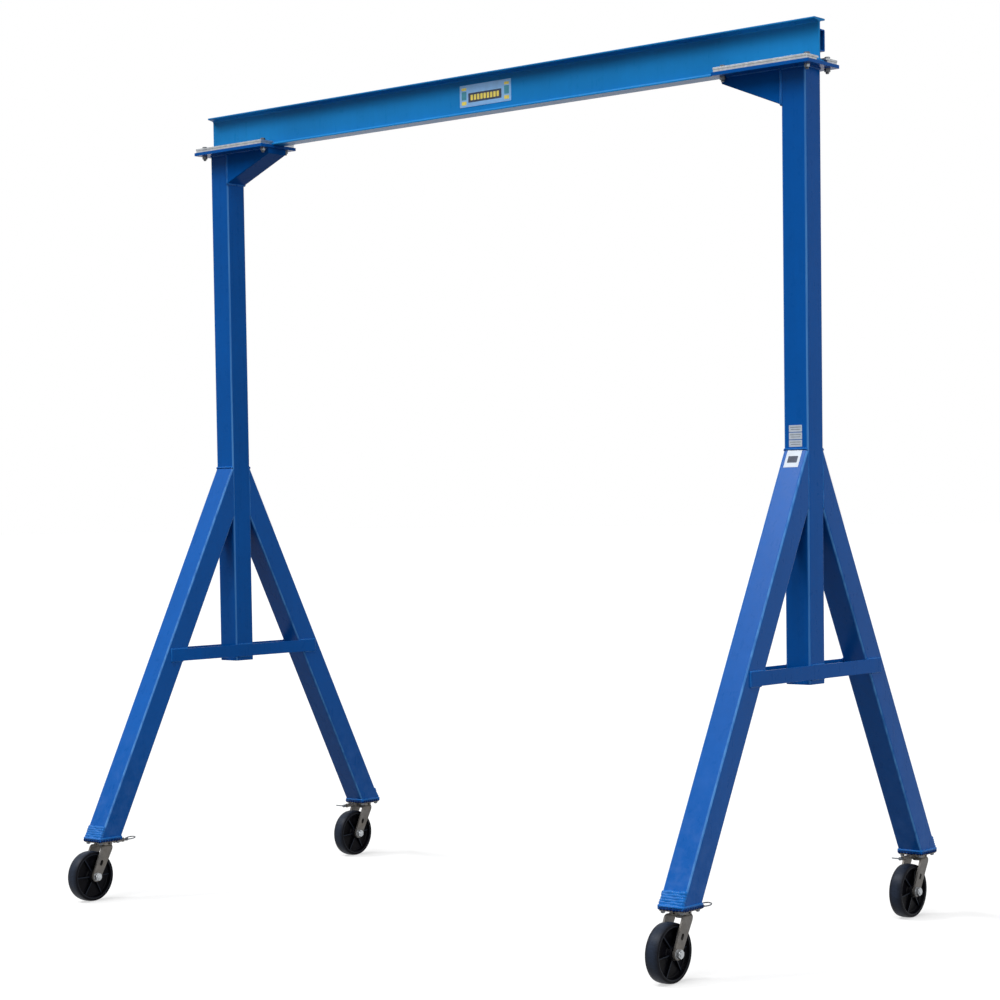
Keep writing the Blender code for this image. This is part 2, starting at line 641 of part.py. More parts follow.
def build_a_frames(crane):
    """Both frames are the same weldment; only the top plate and the gusset face the other way."""
    meshes = {
        "post": post_mesh(),
        "top_plate": top_plate_mesh(),
        "gusset": gusset_mesh(),
        "leg": leg_mesh(),
        "cross_bar": cross_bar_mesh(),
        "foot_plate": foot_plate_mesh(),
    }
    bar_z = BAR_BOTTOM + BAR_HEIGHT / 2
    bar_x = TUBE / 2 + GAP + BAR_THICKNESS / 2
    for side, sx in (("left", -1), ("right", 1)):
        frame = empty(f"a_frame_{side}", crane, (sx * POST_SPAN / 2, 0, 0))
        inwards = 0 if sx < 0 else math.pi
        face = -sx * (TUBE / 2 + GAP)
        place(f"post_{side}", meshes["post"], BLUE_PAINT, frame)
        at = (sx * PLATE_CENTRE, 0, PLATE_UNDERSIDE)
        place(f"top_plate_{side}", meshes["top_plate"], BLUE_PAINT, frame, at, inwards)
        at = (face, 0, PLATE_UNDERSIDE - GAP)
        place(f"gusset_{side}", meshes["gusset"], BLUE_PAINT, frame, at, inwards)
        for where, ex in (("outer", sx), ("inner", -sx)):
            at = (ex * bar_x, 0, bar_z)
            place(f"cross_bar_{side}_{where}", meshes["cross_bar"], BLUE_PAINT, frame, at)
        for row, sy in (("front", -1), ("back", 1)):
            turn = 0 if sy > 0 else math.pi
            place(f"leg_{side}_{row}", meshes["leg"], BLUE_PAINT, frame, turn=turn)
            at = (0, sy * FOOT_CENTRE, 0)
            place(f"foot_plate_{side}_{row}", meshes["foot_plate"], BLUE_PAINT, frame, at)


def build_casters(crane):
    """Each caster's carriers stand on its swivel axis and on its wheel's axis."""
    meshes = {
        "plate": caster_plate_mesh(),
        "fork": fork_mesh(),
        "axle": axle_mesh(),
        "wheel": wheel_mesh(),
        "bearing": bearing_mesh(),
        "lock": lock_pin_mesh(),
    }
    for side, sx in (("left", -1), ("right", 1)):
        for row, sy in (("front", -1), ("back", 1)):
            where = f"{side}_{row}"
            at = (sx * POST_SPAN / 2, sy * FOOT_CENTRE, 0)
            swivel = empty(f"swivel_axis_{where}", crane, at)
            hub = empty(f"wheel_axis_{where}", swivel, (0, -TRAIL, WHEEL_RADIUS))
            inwards = 0 if sy < 0 else math.pi
            place(f"caster_plate_{where}", meshes["plate"], DARK_ZINC, swivel, turn=inwards)
            place(f"caster_fork_{where}", meshes["fork"], DARK_ZINC, swivel)
            lock_at = (0, 0, LOCK_HEIGHT)
            place(f"swivel_lock_{where}", meshes["lock"], BRIGHT_ZINC, swivel, lock_at, inwards)
            place(f"caster_axle_{where}", meshes["axle"], BRIGHT_ZINC, hub)
            place(f"caster_wheel_{where}", meshes["wheel"], BLACK_NYLON, hub)
            place(f"wheel_bearing_{where}", meshes["bearing"], PLAIN_STEEL, hub)


def main():
    clear_scene()
    crane = empty("crane", location=(0, FOOTPRINT_SHIFT, 0))
    build_beam(crane)
    build_clamps(crane)
    build_a_frames(crane)
    build_casters(crane)


if __name__ == "__main__":
    main()
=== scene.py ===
"""Finished pieces, materials and stage for a portable gantry crane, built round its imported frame.

Metres, +Z up, +X along the beam, -Y to the front. Left is -X and right is +X.
"""

import json
import math

import bmesh
import bpy
from mathutils import Matrix, Vector


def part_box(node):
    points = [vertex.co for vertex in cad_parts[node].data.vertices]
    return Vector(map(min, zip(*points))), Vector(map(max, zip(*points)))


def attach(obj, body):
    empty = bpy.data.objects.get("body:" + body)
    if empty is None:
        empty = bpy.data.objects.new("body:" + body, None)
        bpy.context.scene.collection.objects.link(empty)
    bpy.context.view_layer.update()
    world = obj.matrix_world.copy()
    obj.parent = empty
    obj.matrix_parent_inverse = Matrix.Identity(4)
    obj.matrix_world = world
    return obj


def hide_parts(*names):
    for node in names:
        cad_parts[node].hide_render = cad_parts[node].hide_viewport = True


bl_info = {
    "name": "Portable Gantry Crane",
    "version": (1, 0, 0),
    "blender": (4, 5, 0),
    "location": "View3D > Sidebar > Crane",
    "description": "Builds the finished pieces, materials and stage of a portable gantry crane",
    "category": "Object",
}

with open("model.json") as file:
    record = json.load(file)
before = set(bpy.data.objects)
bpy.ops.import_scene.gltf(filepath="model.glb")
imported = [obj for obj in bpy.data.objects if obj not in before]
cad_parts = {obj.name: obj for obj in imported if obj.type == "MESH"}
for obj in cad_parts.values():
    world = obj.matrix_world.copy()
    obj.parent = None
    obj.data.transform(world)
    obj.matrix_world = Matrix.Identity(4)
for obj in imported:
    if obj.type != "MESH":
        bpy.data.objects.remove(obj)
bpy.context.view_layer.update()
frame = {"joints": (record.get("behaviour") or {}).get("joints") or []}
JOINTS = {joint["name"]: Vector(joint.get("pos_m", (0, 0, 0))) for joint in frame["joints"]}

SIDES = (("left", -1), ("right", 1))
ROWS = (("front", -1), ("back", 1))
CORNERS = [f"{side}_{row}" for side, _ in SIDES for row, _ in ROWS]
HALF_TURN = math.pi
MERGE = 1e-6
BOLT_HOLE = 0.0072  # radius of the holes for the clamp bolts
CASTER_PLATE = 0.00635  # thickness of the casters' mounting plates
LOCK_BORE = 0.0038  # radius of the bore that the lock's plunger slides in
LOCK_PIN = 0.0035  # radius of the plunger
COLLAR = 0.0065  # radius of the lock's outer collar
COLLAR_START, COLLAR_END = 0.1203, 0.1308  # from the swivel axis, with the lock released
BARREL_START, BARREL_END = 0.0578, 0.110  # the lock's housing, from the swivel axis
NOTCH_HALF, NOTCH_START = 0.0045, 0.0275  # the race's notches: half their width, and where they begin
LIE_BACK = -math.pi / 2  # turns a shape that stands on Z down towards +Y


def span(node):
    low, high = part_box(node)
    return high - low


def middle(node):
    low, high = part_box(node)
    return (low + high) / 2


BEAM_LOW, BEAM_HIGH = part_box("beam")
POST_LOW, POST_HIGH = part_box("post_left")
CENTRE_Y = middle("post_left").y
TUBE = span("post_left").x
LEG_RISE = span("leg_left_back").z
LEG_ANGLE = math.atan2(span("leg_left_back").y, LEG_RISE)
LEG_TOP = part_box("leg_left_back")[1].z
LEG_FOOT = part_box("leg_left_back")[0].z
FOOT_REACH = middle("foot_plate_left_back").y - CENTRE_Y


def length(name, default, description):
    return bpy.props.FloatProperty(
        name=name, default=default, description=description, unit="LENGTH", min=0.0, precision=5
    )


def colour(name, default, description):
    return bpy.props.FloatVectorProperty(
        name=name, default=default, description=description, subtype="COLOR", min=0.0, max=1.0
    )


def share(name, default, description):
    return bpy.props.FloatProperty(
        name=name, default=default, description=description, subtype="FACTOR", min=0.0, max=1.0
    )


def plain(name, default, description, lowest=0.0):
    return bpy.props.FloatProperty(name=name, default=default, description=description, min=lowest)


class CraneSteelwork(bpy.types.PropertyGroup):
    """Sizes of the beam, the A-frames and their welds."""

    web: length("Web", 0.006, "Thickness of the beam's web")
    toe: length("Flange toe", 0.0062, "Thickness of the flange at its edge")
    root_radius: length("Root radius", 0.007, "Fillet between web and flange")
    toe_radius: length("Toe radius", 0.0025, "Rounding inside the flange's edge")
    tube_radius: length("Tube corner", 0.0095, "Outside corner radius of the square tube")
    tube_wall: length("Tube wall", 0.00635, "Wall of the square tube")
    stop_wall: length("End stop wall", 0.005, "Wall of the channels at the beam's ends")
    fold_radius: length("Gusset fold", 0.006, "Outside radius of the gusset's folds")
    edge: length("Plate edge", 0.0009, "Rounding on the edges of plates and bars")
    weld: length("Weld", 0.0042, "Radius of an ordinary weld bead")
    ripple: length("Weld ripple", 0.0042, "Distance between two ripples of a bead")
    pad_bead: length("Pad bead", 0.0086, "Radius of the beads built up above each foot")
    pad_proud: length("Pad proud", 0.0042, "How far those beads stand out of the leg's face")
    pad_rise: length("Pad height", 0.056, "Height of the built-up beads along the leg")
    foot_bead: length("Foot bead", 0.0052, "Radius of the lumpy bead round each foot plate")


class CraneCasters(bpy.types.PropertyGroup):
    """Sizes of the casters."""

    fork_plate: length("Fork plate", 0.0075, "Thickness of the fork")
    fork_bend: length("Fork bend", 0.0125, "Outside radius of the fork's bends")
    fork_end: length("Fork end", 0.0205, "Radius of the fork's lower end")
    crown_front: length("Crown front", 0.0345, "Crown's front edge from the swivel axis")
    crown_back: length("Crown back", 0.0175, "Crown's back edge from the swivel axis")
    slot_length: length("Slot length", 0.0235, "Length of the hole in each fork leg")
    slot_width: length("Slot width", 0.0135, "Width of the hole in each fork leg")
    race_height: length("Race height", 0.0083, "Height of the lower race above the crown")
    race_radius: length("Race radius", 0.037, "Radius of the lower race")
    kingpin: length("Kingpin", 0.011, "Radius of the kingpin")
    rib: length("Rib", 0.0045, "Thickness of a wheel's rib")
    ribs: bpy.props.IntProperty(name="Ribs", default=6, min=2, max=12, description="Ribs on a wheel")
    tread_drop: length("Tread crown", 0.0026, "Drop from the tread's middle to its edge")
    ring_wire: length("Ring wire", 0.0024, "Radius of the pull ring's wire")
    ring_radius: length("Ring radius", 0.0195, "Radius of the pull ring's centre line")


class CraneFinish(bpy.types.PropertyGroup):
    """Colours and gloss."""

    blue: colour("Blue paint", (0.002, 0.085, 0.355), "Enamel on the A-frames")
    beam: colour("Beam paint", (0.010, 0.195, 0.50), "Enamel on the beam")
    # Painted highlight: a lighter blue laid along the middle of each tube corner.
    corner: colour("Corner highlight", (0.09, 0.28, 0.62), "Painted highlight along the tubes' corners")
    # Painted highlight: the weld beads take this lighter, more cyan copy of the blue.
    weld: colour("Weld paint", (0.006, 0.12, 0.42), "Lighter enamel on the weld beads, a painted highlight")
    # Painted shade: the beads under the foot plates' edges take this much darker copy of the blue.
    rim: colour("Rim paint", (0.001, 0.020, 0.11), "Painted shade under the edge of the foot plates")
    zinc: colour("Bright zinc", (0.42, 0.44, 0.46), "Plating on the clamp bars and axle bolts")
    bolt: colour("Bolt zinc", (0.115, 0.125, 0.14), "Plating on clamp bolts, mounting nuts and locks")
    dull_zinc: colour("Dull zinc", (0.118, 0.112, 0.106), "Plating on the casters")
    wheel: colour("Wheel", (0.0018, 0.0018, 0.0030), "Moulded wheel")
    # The tread's grey is worn rubber; its blue tint is a painted reflection of the sky.
    tread: colour("Tread", (0.013, 0.019, 0.033), "Worn tread of the wheel")
    steel: colour("Steel", (0.50, 0.49, 0.47), "Turned steel")
    vinyl: colour("Label", (0.46, 0.52, 0.60), "Plain labels")
    plate: colour("Nameplate", (0.20, 0.40, 0.68), "Plain plate on the beam's web")
    band: colour("Nameplate band", (0.045, 0.055, 0.085), "Band across the nameplate")
    line: colour("Label line", (0.16, 0.18, 0.20), "Plain lines on the labels")
    bar: colour("Nameplate bar", (0.75, 0.60, 0.10), "Plain bars on the nameplate")
    patch: colour("Nameplate patch", (0.03, 0.22, 0.30), "Plain patches on the nameplate")
    gloss: share("Paint roughness", 0.20, "Roughness of the paint under its coat")


class CraneStage(bpy.types.PropertyGroup):
    """Light, floor and camera."""

    key: plain("Key", 2.4, "Strength of the key light")
    accent: plain("Accent", 1.5, "Strength of the light that the legs mirror")
    fill: plain("Fill", 1.0, "Strength of the side fill")
    sky: plain("Sky", 0.28, "Light from all round")
    floor: colour("Floor", (0.40, 0.40, 0.40), "Floor's colour where it is seen")
    bounce: share("Bounce", 0.12, "Share of its light that the floor gives back to the crane")
    lens: plain("Lens", 85.29, "Focal length in mm", 1.0)


# Meshes


def bevel(bm, geom, offset, segments, **settings):
    bmesh.ops.bevel(bm, geom=geom, offset=offset, segments=segments, profile=0.5, material=-1, **settings)


def rounded(points, segments=6):
    """A bmesh with one face in X and Y, through corners (x, y, radius)."""
    bm = bmesh.new()
    corners = [bm.verts.new((x, y, 0)) for x, y, _ in points]
    bm.faces.new(corners)
    for index, (x, y, radius) in enumerate(points):
        if radius == 0:
            continue
        before = Vector(points[index - 1][:2]) - Vector((x, y))
        after = Vector(points[(index + 1) % len(points)][:2]) - Vector((x, y))
        offset = radius / math.tan(before.angle(after) / 2)
        bevel(bm, [corners[index]], offset, segments, affect="VERTICES", offset_type="ABSOLUTE")
    return bm


def rectangle(width, depth, radius=0.0, segments=6):
    signs = ((-1, -1), (1, -1), (1, 1), (-1, 1))
    return rounded([(sx * width / 2, sy * depth / 2, radius) for sx, sy in signs], segments)


def extrude(bm, offset):
    """Draws the faces out along the offset into a closed solid, and returns the corners at its far end."""
    made = bmesh.ops.extrude_face_region(bm, geom=bm.faces[:])["geom"]
    far = [item for item in made if isinstance(item, bmesh.types.BMVert)]
    bmesh.ops.translate(bm, verts=far, vec=offset)
    bmesh.ops.recalc_face_normals(bm, faces=bm.faces)
    return far


def prism(points, height, segments=6):
    """A closed solid from its rounded outline, standing on z = 0."""
    bm = rounded(points, segments)
    extrude(bm, (0, 0, height))
    return bm


def hollow(bm, wall):
    """Leaves only a wall's width of a flat face, round its edge."""
    rim = bmesh.ops.inset_region(
        bm, faces=bm.faces[:], thickness=wall, use_boundary=True, use_even_offset=True
    )["faces"]
    inner = [face for face in bm.faces if face not in rim]
    bmesh.ops.delete(bm, geom=inner, context="FACES_ONLY")


def tube_section(sizes):
    """A square tube's section; its corner attribute is 1 along the middle of each outer corner, where the
    paint lays a painted highlight.
    """
    bm = rectangle(TUBE, TUBE, sizes.tube_radius)
    corner = bm.verts.layers.float.new("corner")
    start = TUBE / 2 - sizes.tube_radius
    for vert in bm.verts:
        across, along = abs(vert.co.x) - start, abs(vert.co.y) - start
        vert[corner] = float(min(across, along) > 0.5 * sizes.tube_radius)
    hollow(bm, sizes.tube_wall)
    return bm


def soften(bm, width, segments=2, angle=30):
    """Rounds the edges that turn more than the angle, in degrees."""
    bm.normal_update()
    sharp = [e for e in bm.edges if e.is_manifold and e.calc_face_angle() > math.radians(angle)]
    bevel(bm, sharp, width, segments, affect="EDGES", offset_type="OFFSET", clamp_overlap=True)
    return bm


def block(low, high, edge=0.0, segments=2):
    """A box between two corners, its edges rounded."""
    low, high = Vector(low), Vector(high)
    bm = bmesh.new()
    matrix = Matrix.LocRotScale((low + high) / 2, None, high - low)
    bmesh.ops.create_cube(bm, size=1.0, matrix=matrix)
    return soften(bm, edge, segments) if edge else bm


def spun(bm, section, steps):
    """The section turned once round Z into a closed solid."""
    axes = {"cent": (0, 0, 0), "axis": (0, 0, 1), "angle": math.tau}
    bmesh.ops.spin(bm, geom=section, steps=steps, use_merge=True, **axes)
    bmesh.ops.remove_doubles(bm, verts=bm.verts, dist=MERGE)
    bmesh.ops.recalc_face_normals(bm, faces=bm.faces)
    return bm


def lathe(points, steps=48, closed=False):
    """A profile of (radius, height) turned round Z; on the axis it closes, or it is itself a loop."""
    bm = bmesh.new()
    verts = [bm.verts.new((radius, 0, height)) for radius, height in points]
    edges = [bm.edges.new(pair) for pair in zip(verts, verts[1:])]
    if closed:
        edges.append(bm.edges.new((verts[-1], verts[0])))
    return spun(bm, verts + edges, steps)


def rod(radius, low, high, chamfer=0.0, steps=32):
    """A bar along Z with chamfered ends."""
    ends = [(0, low), (radius - chamfer, low), (radius, low + chamfer)]
    ends += [(radius, high - chamfer), (radius - chamfer, high), (0, high)]
    return lathe(ends if chamfer else [(0, low), (radius, low), (radius, high), (0, high)], steps)


def moved(bm, *matrices):
    """The bmesh after the given matrices, the last one first."""
    for matrix in reversed(matrices):
        bm.transform(matrix)
    return bm


def at(x, y, z):
    return Matrix.Translation((x, y, z))


def turn(angle, axis="Z"):
    return Matrix.Rotation(angle, 4, axis)


# A face in X and Y stood up: its X and Y become Y and Z, or X and Z
TO_YZ = Matrix(((0, 0, 1, 0), (1, 0, 0, 0), (0, 1, 0, 0), (0, 0, 0, 1)))
TO_XZ = Matrix(((1, 0, 0, 0), (0, 0, -1, 0), (0, 1, 0, 0), (0, 0, 0, 1)))


def as_mesh(bm, name="work"):
    mesh = bpy.data.meshes.new(name)
    bm.to_mesh(mesh)
    bm.free()
    return mesh


def merged(*parts):
    """Several closed shells in one bmesh. A part is a bmesh, or a bmesh and its material's number."""
    whole = bmesh.new()
    for part in parts:
        bm, number = part if isinstance(part, tuple) else (part, None)
        if number is not None:
            for face in bm.faces:
                face.material_index = number
        mesh = as_mesh(bm)
        whole.from_mesh(mesh)
        bpy.data.meshes.remove(mesh)
    return whole


def boolean(first, second, operation):
    """What one exact Boolean leaves of two closed bmeshes."""
    helpers = [bpy.data.objects.new("helper", as_mesh(bm)) for bm in (first, second)]
    for helper in helpers:
        bpy.context.scene.collection.objects.link(helper)
    modifier = helpers[0].modifiers.new("Boolean", "BOOLEAN")
    modifier.operation = operation
    modifier.solver = "EXACT"
    modifier.object = helpers[1]
    result = bmesh.new()
    result.from_object(helpers[0], bpy.context.evaluated_depsgraph_get())
    for helper in helpers:
        mesh = helper.data
        bpy.data.objects.remove(helper)
        bpy.data.meshes.remove(mesh)
    bmesh.ops.remove_doubles(result, verts=result.verts, dist=MERGE)
    return result


def cut(bm, *tools):
    for tool in tools:
        bm = boolean(bm, tool, "DIFFERENCE")
    return bm


def show(name, shape, looks, nodes=(), body="frame", place=None, smooth=35):
    """One finished piece, its place in its mesh, on its body and in place of its CAD nodes."""
    mesh = shape.copy() if isinstance(shape, bpy.types.Mesh) else as_mesh(shape)
    mesh.name = name
    if place is not None:
        mesh.transform(place)
    for look in looks if isinstance(looks, (list, tuple)) else [looks]:
        mesh.materials.append(material(look))
    mesh.shade_smooth()
    mesh.set_sharp_from_angle(angle=math.radians(smooth))
    piece = bpy.data.objects.new(name, mesh)
    bpy.context.scene.collection.objects.link(piece)
    weighted = piece.modifiers.new("Weighted Normal", "WEIGHTED_NORMAL")
    weighted.keep_sharp = True
    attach(piece, body)
    if nodes:
        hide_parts(*nodes)
    return piece


class Welder:
    """Weld beads laid along lines, collected into one piece."""

    def __init__(self, pitch):
        self.pitch = pitch
        self.curve = bpy.data.curves.new("beads", "CURVE")
        self.curve.dimensions = "3D"
        self.curve.bevel_depth = 1.0
        self.curve.bevel_resolution = 2
        self.curve.use_fill_caps = True

    def bead(self, points, radius, ripple=0.16, pitch=None, sway=0.0):
        """Ripples swell the bead once a pitch; sway lets it wander up and down."""
        pitch = pitch or self.pitch
        step = pitch / 4
        line = []
        for start, end in zip(points, points[1:]):
            count = max(1, round((end - start).length / step))
            line += [start.lerp(end, index / count) for index in range(count)]
        line.append(points[-1])
        spline = self.curve.splines.new("POLY")
        spline.points.add(len(line) - 1)
        phase = 1.7 * len(self.curve.splines)
        for index, (point, place) in enumerate(zip(spline.points, line)):
            along = index * step
            swell = 1 + ripple * (abs(math.sin(math.pi * along / pitch + phase)) - 0.5)
            swell += 0.07 * math.sin(along / 0.013 + phase) + 0.05 * math.sin(along / 0.0071 - phase)
            end = min(index, len(line) - 1 - index) / 3
            swell *= min(1.0, 0.45 + 0.55 * end)
            wander = math.sin(along / 0.0083 + 2.3 * phase) + 0.6 * math.sin(along / 0.0051 - phase)
            point.co = (place.x, place.y, place.z + sway * wander, 1)
            point.radius = radius * swell

    def mesh(self):
        helper = bpy.data.objects.new("beads", self.curve)
        bpy.context.scene.collection.objects.link(helper)
        graph = bpy.context.evaluated_depsgraph_get()
        result = bpy.data.meshes.new_from_object(helper.evaluated_get(graph))
        bpy.data.objects.remove(helper)
        return result


def ring_path(width, depth, radius, height, steps=4):
    """Points round a rectangle with rounded corners, once round and back to the first."""
    path = []
    for quarter, (sx, sy) in enumerate(((1, 1), (-1, 1), (-1, -1), (1, -1))):
        corner = Vector((sx * (width / 2 - radius), sy * (depth / 2 - radius), height))
        for step in range(steps + 1):
            angle = (quarter + step / steps) * math.pi / 2
            path.append(corner + radius * Vector((math.cos(angle), math.sin(angle), 0)))
    return path + path[:1]


# Materials


class Socket:
    """A shader value. The usual operators on it add Math nodes."""

    def __init__(self, shader, link):
        self.shader = shader
        self.link = link

    def maths(self, operation, first, second):
        return self.shader.node("ShaderNodeMath", {"operation": operation}, {0: first, 1: second})

    def __add__(self, other):
        return self.maths("ADD", self, other)

    __radd__ = __add__

    def __sub__(self, other):
        return self.maths("SUBTRACT", self, other)

    def __rsub__(self, other):
        return self.maths("SUBTRACT", other, self)

    def __mul__(self, other):
        return self.maths("MULTIPLY", self, other)

    __rmul__ = __mul__


class Shader:
    """Adds nodes to a tree: a new material's, with its Principled shader, or one that is there already."""

    def __init__(self, name, tree=None):
        self.tree = tree
        if tree is None:
            self.material = bpy.data.materials.new(name)
            self.material.use_nodes = True
            self.tree = self.material.node_tree
            self.surface = self.tree.nodes["Principled BSDF"]

    def node(self, kind, settings, sockets, output=0):
        """Any node: its settings are made first, then its sockets are set or linked."""
        made = self.tree.nodes.new(kind)
        for name, value in settings.items():
            if name == "stops":
                ramp = made.color_ramp.elements
                while len(ramp) < len(value):
                    ramp.new(1.0)
                for stop, (position, shade) in zip(ramp, value):
                    stop.position = position
                    stop.color = shade
            else:
                setattr(made, name, value)
        for name, value in sockets.items():
            self.set(made.inputs[name], value)
        return Socket(self, made.outputs[output])

    def set(self, socket, value):
        if isinstance(value, Socket):
            self.tree.links.new(value.link, socket)
        else:
            socket.default_value = value

    def surface_sockets(self, values):
        for name, value in values.items():
            self.set(self.surface.inputs[name], value)

    def place(self):
        return self.node("ShaderNodeTexCoord", {}, {}, "Object")

    def stretched(self, place, scale):
        """The place with each axis scaled, so that a pattern drawn on it is stretched."""
        return self.node("ShaderNodeMapping", {}, {"Vector": place, "Scale": scale})

    def noise(self, place, scale, detail=2.0, roughness=0.5):
        sockets = {"Vector": place, "Scale": scale, "Detail": detail, "Roughness": roughness}
        return self.node("ShaderNodeTexNoise", {}, sockets, 0)

    def spread(self, value, low, high, out_low=0.0, out_high=1.0):
        sockets = {0: value, 1: low, 2: high, 3: out_low, 4: out_high}
        return self.node("ShaderNodeMapRange", {"clamp": True}, sockets)

    def mix(self, factor, first, second):
        """Between two colours."""
        sockets = {0: factor, 6: first, 7: second}
        return self.node("ShaderNodeMix", {"data_type": "RGBA"}, sockets, 2)

    def bump(self, height, distance, strength=1.0, normal=None):
        sockets = {"Height": height, "Distance": distance, "Strength": strength}
        if normal is not None:
            sockets["Normal"] = normal
        return self.node("ShaderNodeBump", {}, sockets)


def shade(rgb, factor=1.0):
    """A colour lightened or darkened, as a colour socket takes it."""
    return (*[min(1.0, channel * factor) for channel in rgb], 1.0)


def blue_paint(shader, finish, paint=None, weld=False, sheen=0.055):
    """Gloss enamel: slow drift in tone, faint streaks, orange peel, dust low down, and a painted highlight
    along the tubes' corners.
    """
    place = shader.place()
    height = shader.node("ShaderNodeSeparateXYZ", {}, {0: place}, "Z")
    drift = shader.noise(place, 1.6, 3.0)
    mottle = shader.noise(place, 22.0, 4.0, 0.6)
    streaks = shader.noise(shader.stretched(place, (60.0, 60.0, 2.2)), 1.0, 3.0)
    tone = shader.spread(drift + 0.35 * mottle + 0.25 * streaks, 0.55, 1.05)
    paint = paint or finish.blue
    base = shader.mix(tone, shade(paint, 0.88), shade(paint, 1.10))
    dust = shader.spread(height, 0.75, 0.22) * shader.spread(mottle, 0.45, 0.75)
    scuffs = shader.noise(shader.stretched(place, (9.0, 9.0, 70.0)), 1.0, 5.0, 0.65)
    worn = shader.spread(scuffs, 0.70, 0.78) * shader.spread(mottle, 0.5, 0.62)
    base = shader.mix(0.10 * dust + 0.10 * worn, base, (0.30, 0.36, 0.44, 1))
    # Painted highlight: the corner attribute turns the blue towards the lighter corner colour along the
    # tubes' corners, more where the streaks run.
    corner = shader.node("ShaderNodeAttribute", {"attribute_name": "corner"}, {}, "Fac")
    base = shader.mix(corner * shader.spread(streaks, 0.35, 0.60, 0.3, 0.75), base, shade(finish.corner))
    rough = finish.gloss + 0.10 * mottle + 0.08 * streaks + 0.16 * dust + 0.10 * worn
    waves = shader.noise(place, 9.0, 2.0)
    peel = shader.noise(place, 420.0, 2.0)
    normal = shader.bump(waves, 0.0010 if not weld else 0.0004, 0.5)
    normal = shader.bump(peel, 0.00006, 0.6, normal)
    if weld:
        grain = shader.noise(place, 190.0, 4.0, 0.6)
        normal = shader.bump(grain, 0.0008, 0.8, normal)
    shader.surface_sockets({
        "Base Color": base,
        "Roughness": rough,
        "Normal": normal,
        "Specular IOR Level": sheen,
    })


def leg_paint(shader, finish):
    blue_paint(shader, finish, sheen=0.09)


def gusset_paint(shader, finish):
    blue_paint(shader, finish, sheen=0.01)


# Painted highlight: the weld beads are painted in a lighter copy of the blue.
def weld_paint(shader, finish):
    blue_paint(shader, finish, finish.weld, weld=True, sheen=0.12)


# Painted shade: a much darker copy of the blue for the beads under the foot plates' edges.
def rim_paint(shader, finish):
    blue_paint(shader, finish, finish.rim, weld=True, sheen=0.03)


def beam_paint(shader, finish):
    blue_paint(shader, finish, finish.beam)


def bright_zinc(shader, finish, plating=None):
    """Bright plating: fine rubbed lines, soft spangle and a few darker rubs."""
    plating = plating or finish.zinc
    place = shader.place()
    spangle = shader.node("ShaderNodeTexVoronoi", {}, {"Vector": place, "Scale": 90.0}, "Color")
    patch = shader.node("ShaderNodeSeparateColor", {}, {0: spangle}, 0)
    cloud = shader.noise(place, 45.0, 4.0)
    lines = shader.noise(shader.stretched(place, (12.0, 900.0, 900.0)), 1.0, 2.0)
    tone = shader.spread(0.5 * patch + 0.5 * cloud, 0.2, 0.8)
    base = shader.mix(tone, shade(plating, 0.80), shade(plating, 1.12))
    shader.surface_sockets({
        "Base Color": base,
        "Metallic": 0.85,
        "Roughness": 0.24 + 0.16 * cloud + 0.10 * lines,
        "Normal": shader.bump(lines + 0.4 * cloud, 0.00008, 0.6),
    })


def bolt_zinc(shader, finish):
    bright_zinc(shader, finish, finish.bolt)


def dull_zinc(shader, finish):
    """Plating on pressed steel: warm grey, blotched, with stamping marks."""
    place = shader.place()
    cloud = shader.noise(place, 38.0, 5.0, 0.65)
    grain = shader.noise(place, 260.0, 3.0, 0.7)
    tone = shader.spread(0.65 * cloud + 0.35 * grain, 0.32, 0.66)
    base = shader.mix(tone, shade(finish.dull_zinc, 0.62), shade(finish.dull_zinc, 1.30))
    tint = shader.spread(shader.noise(place, 17.0, 2.0), 0.45, 0.75)
    base = shader.mix(0.20 * tint, base, (0.18, 0.14, 0.09, 1))
    shader.surface_sockets({
        "Base Color": base,
        "Metallic": 0.75,
        "Roughness": 0.38 + 0.22 * cloud,
        "Normal": shader.bump(grain + 0.5 * cloud, 0.00016, 0.7),
    })


def wheel_side(shader, finish):
    """Moulded black plastic with a faint flow pattern."""
    place = shader.place()
    cloud = shader.noise(place, 30.0, 4.0, 0.6)
    grain = shader.noise(place, 600.0, 2.0)
    base = shader.mix(shader.spread(cloud, 0.35, 0.7), shade(finish.wheel, 0.8), shade(finish.wheel, 1.9))
    shader.surface_sockets({
        "Base Color": base,
        "Roughness": 0.26 + 0.20 * cloud,
        "Specular IOR Level": 0.05,
        "Normal": shader.bump(grain + 0.6 * cloud, 0.0001, 0.6),
    })


def wheel_tread(shader, finish):
    """The running surface, the ribs' outer faces and the rim's lip: grey, scuffed along the width, lighter
    towards the middle of the width and darker at its edges, partly wear and partly a painted sheen.
    """
    place = shader.place()
    cloud = shader.noise(place, 42.0, 5.0, 0.7)
    scuffs = shader.noise(shader.stretched(place, (40.0, 300.0, 300.0)), 1.0, 4.0, 0.7)
    tone = shader.spread(0.5 * cloud + 0.5 * scuffs, 0.36, 0.66)
    base = shader.mix(tone, shade(finish.tread, 0.7), shade(finish.tread, 1.6))
    # Partly wear, partly painted sheen: the attribute keeps the tread colour in the middle of the width and
    # darkens it towards the edges.
    rubbed = shader.node("ShaderNodeAttribute", {"attribute_name": "rubbed"}, {}, "Fac")
    base = shader.mix(0.25 + 0.75 * rubbed, shade(finish.wheel, 1.5), base)
    shader.surface_sockets({
        "Base Color": base,
        "Roughness": 0.34 + 0.20 * cloud,
        "Specular IOR Level": 0.10,
        "Normal": shader.bump(scuffs + cloud, 0.00025, 0.7),
    })


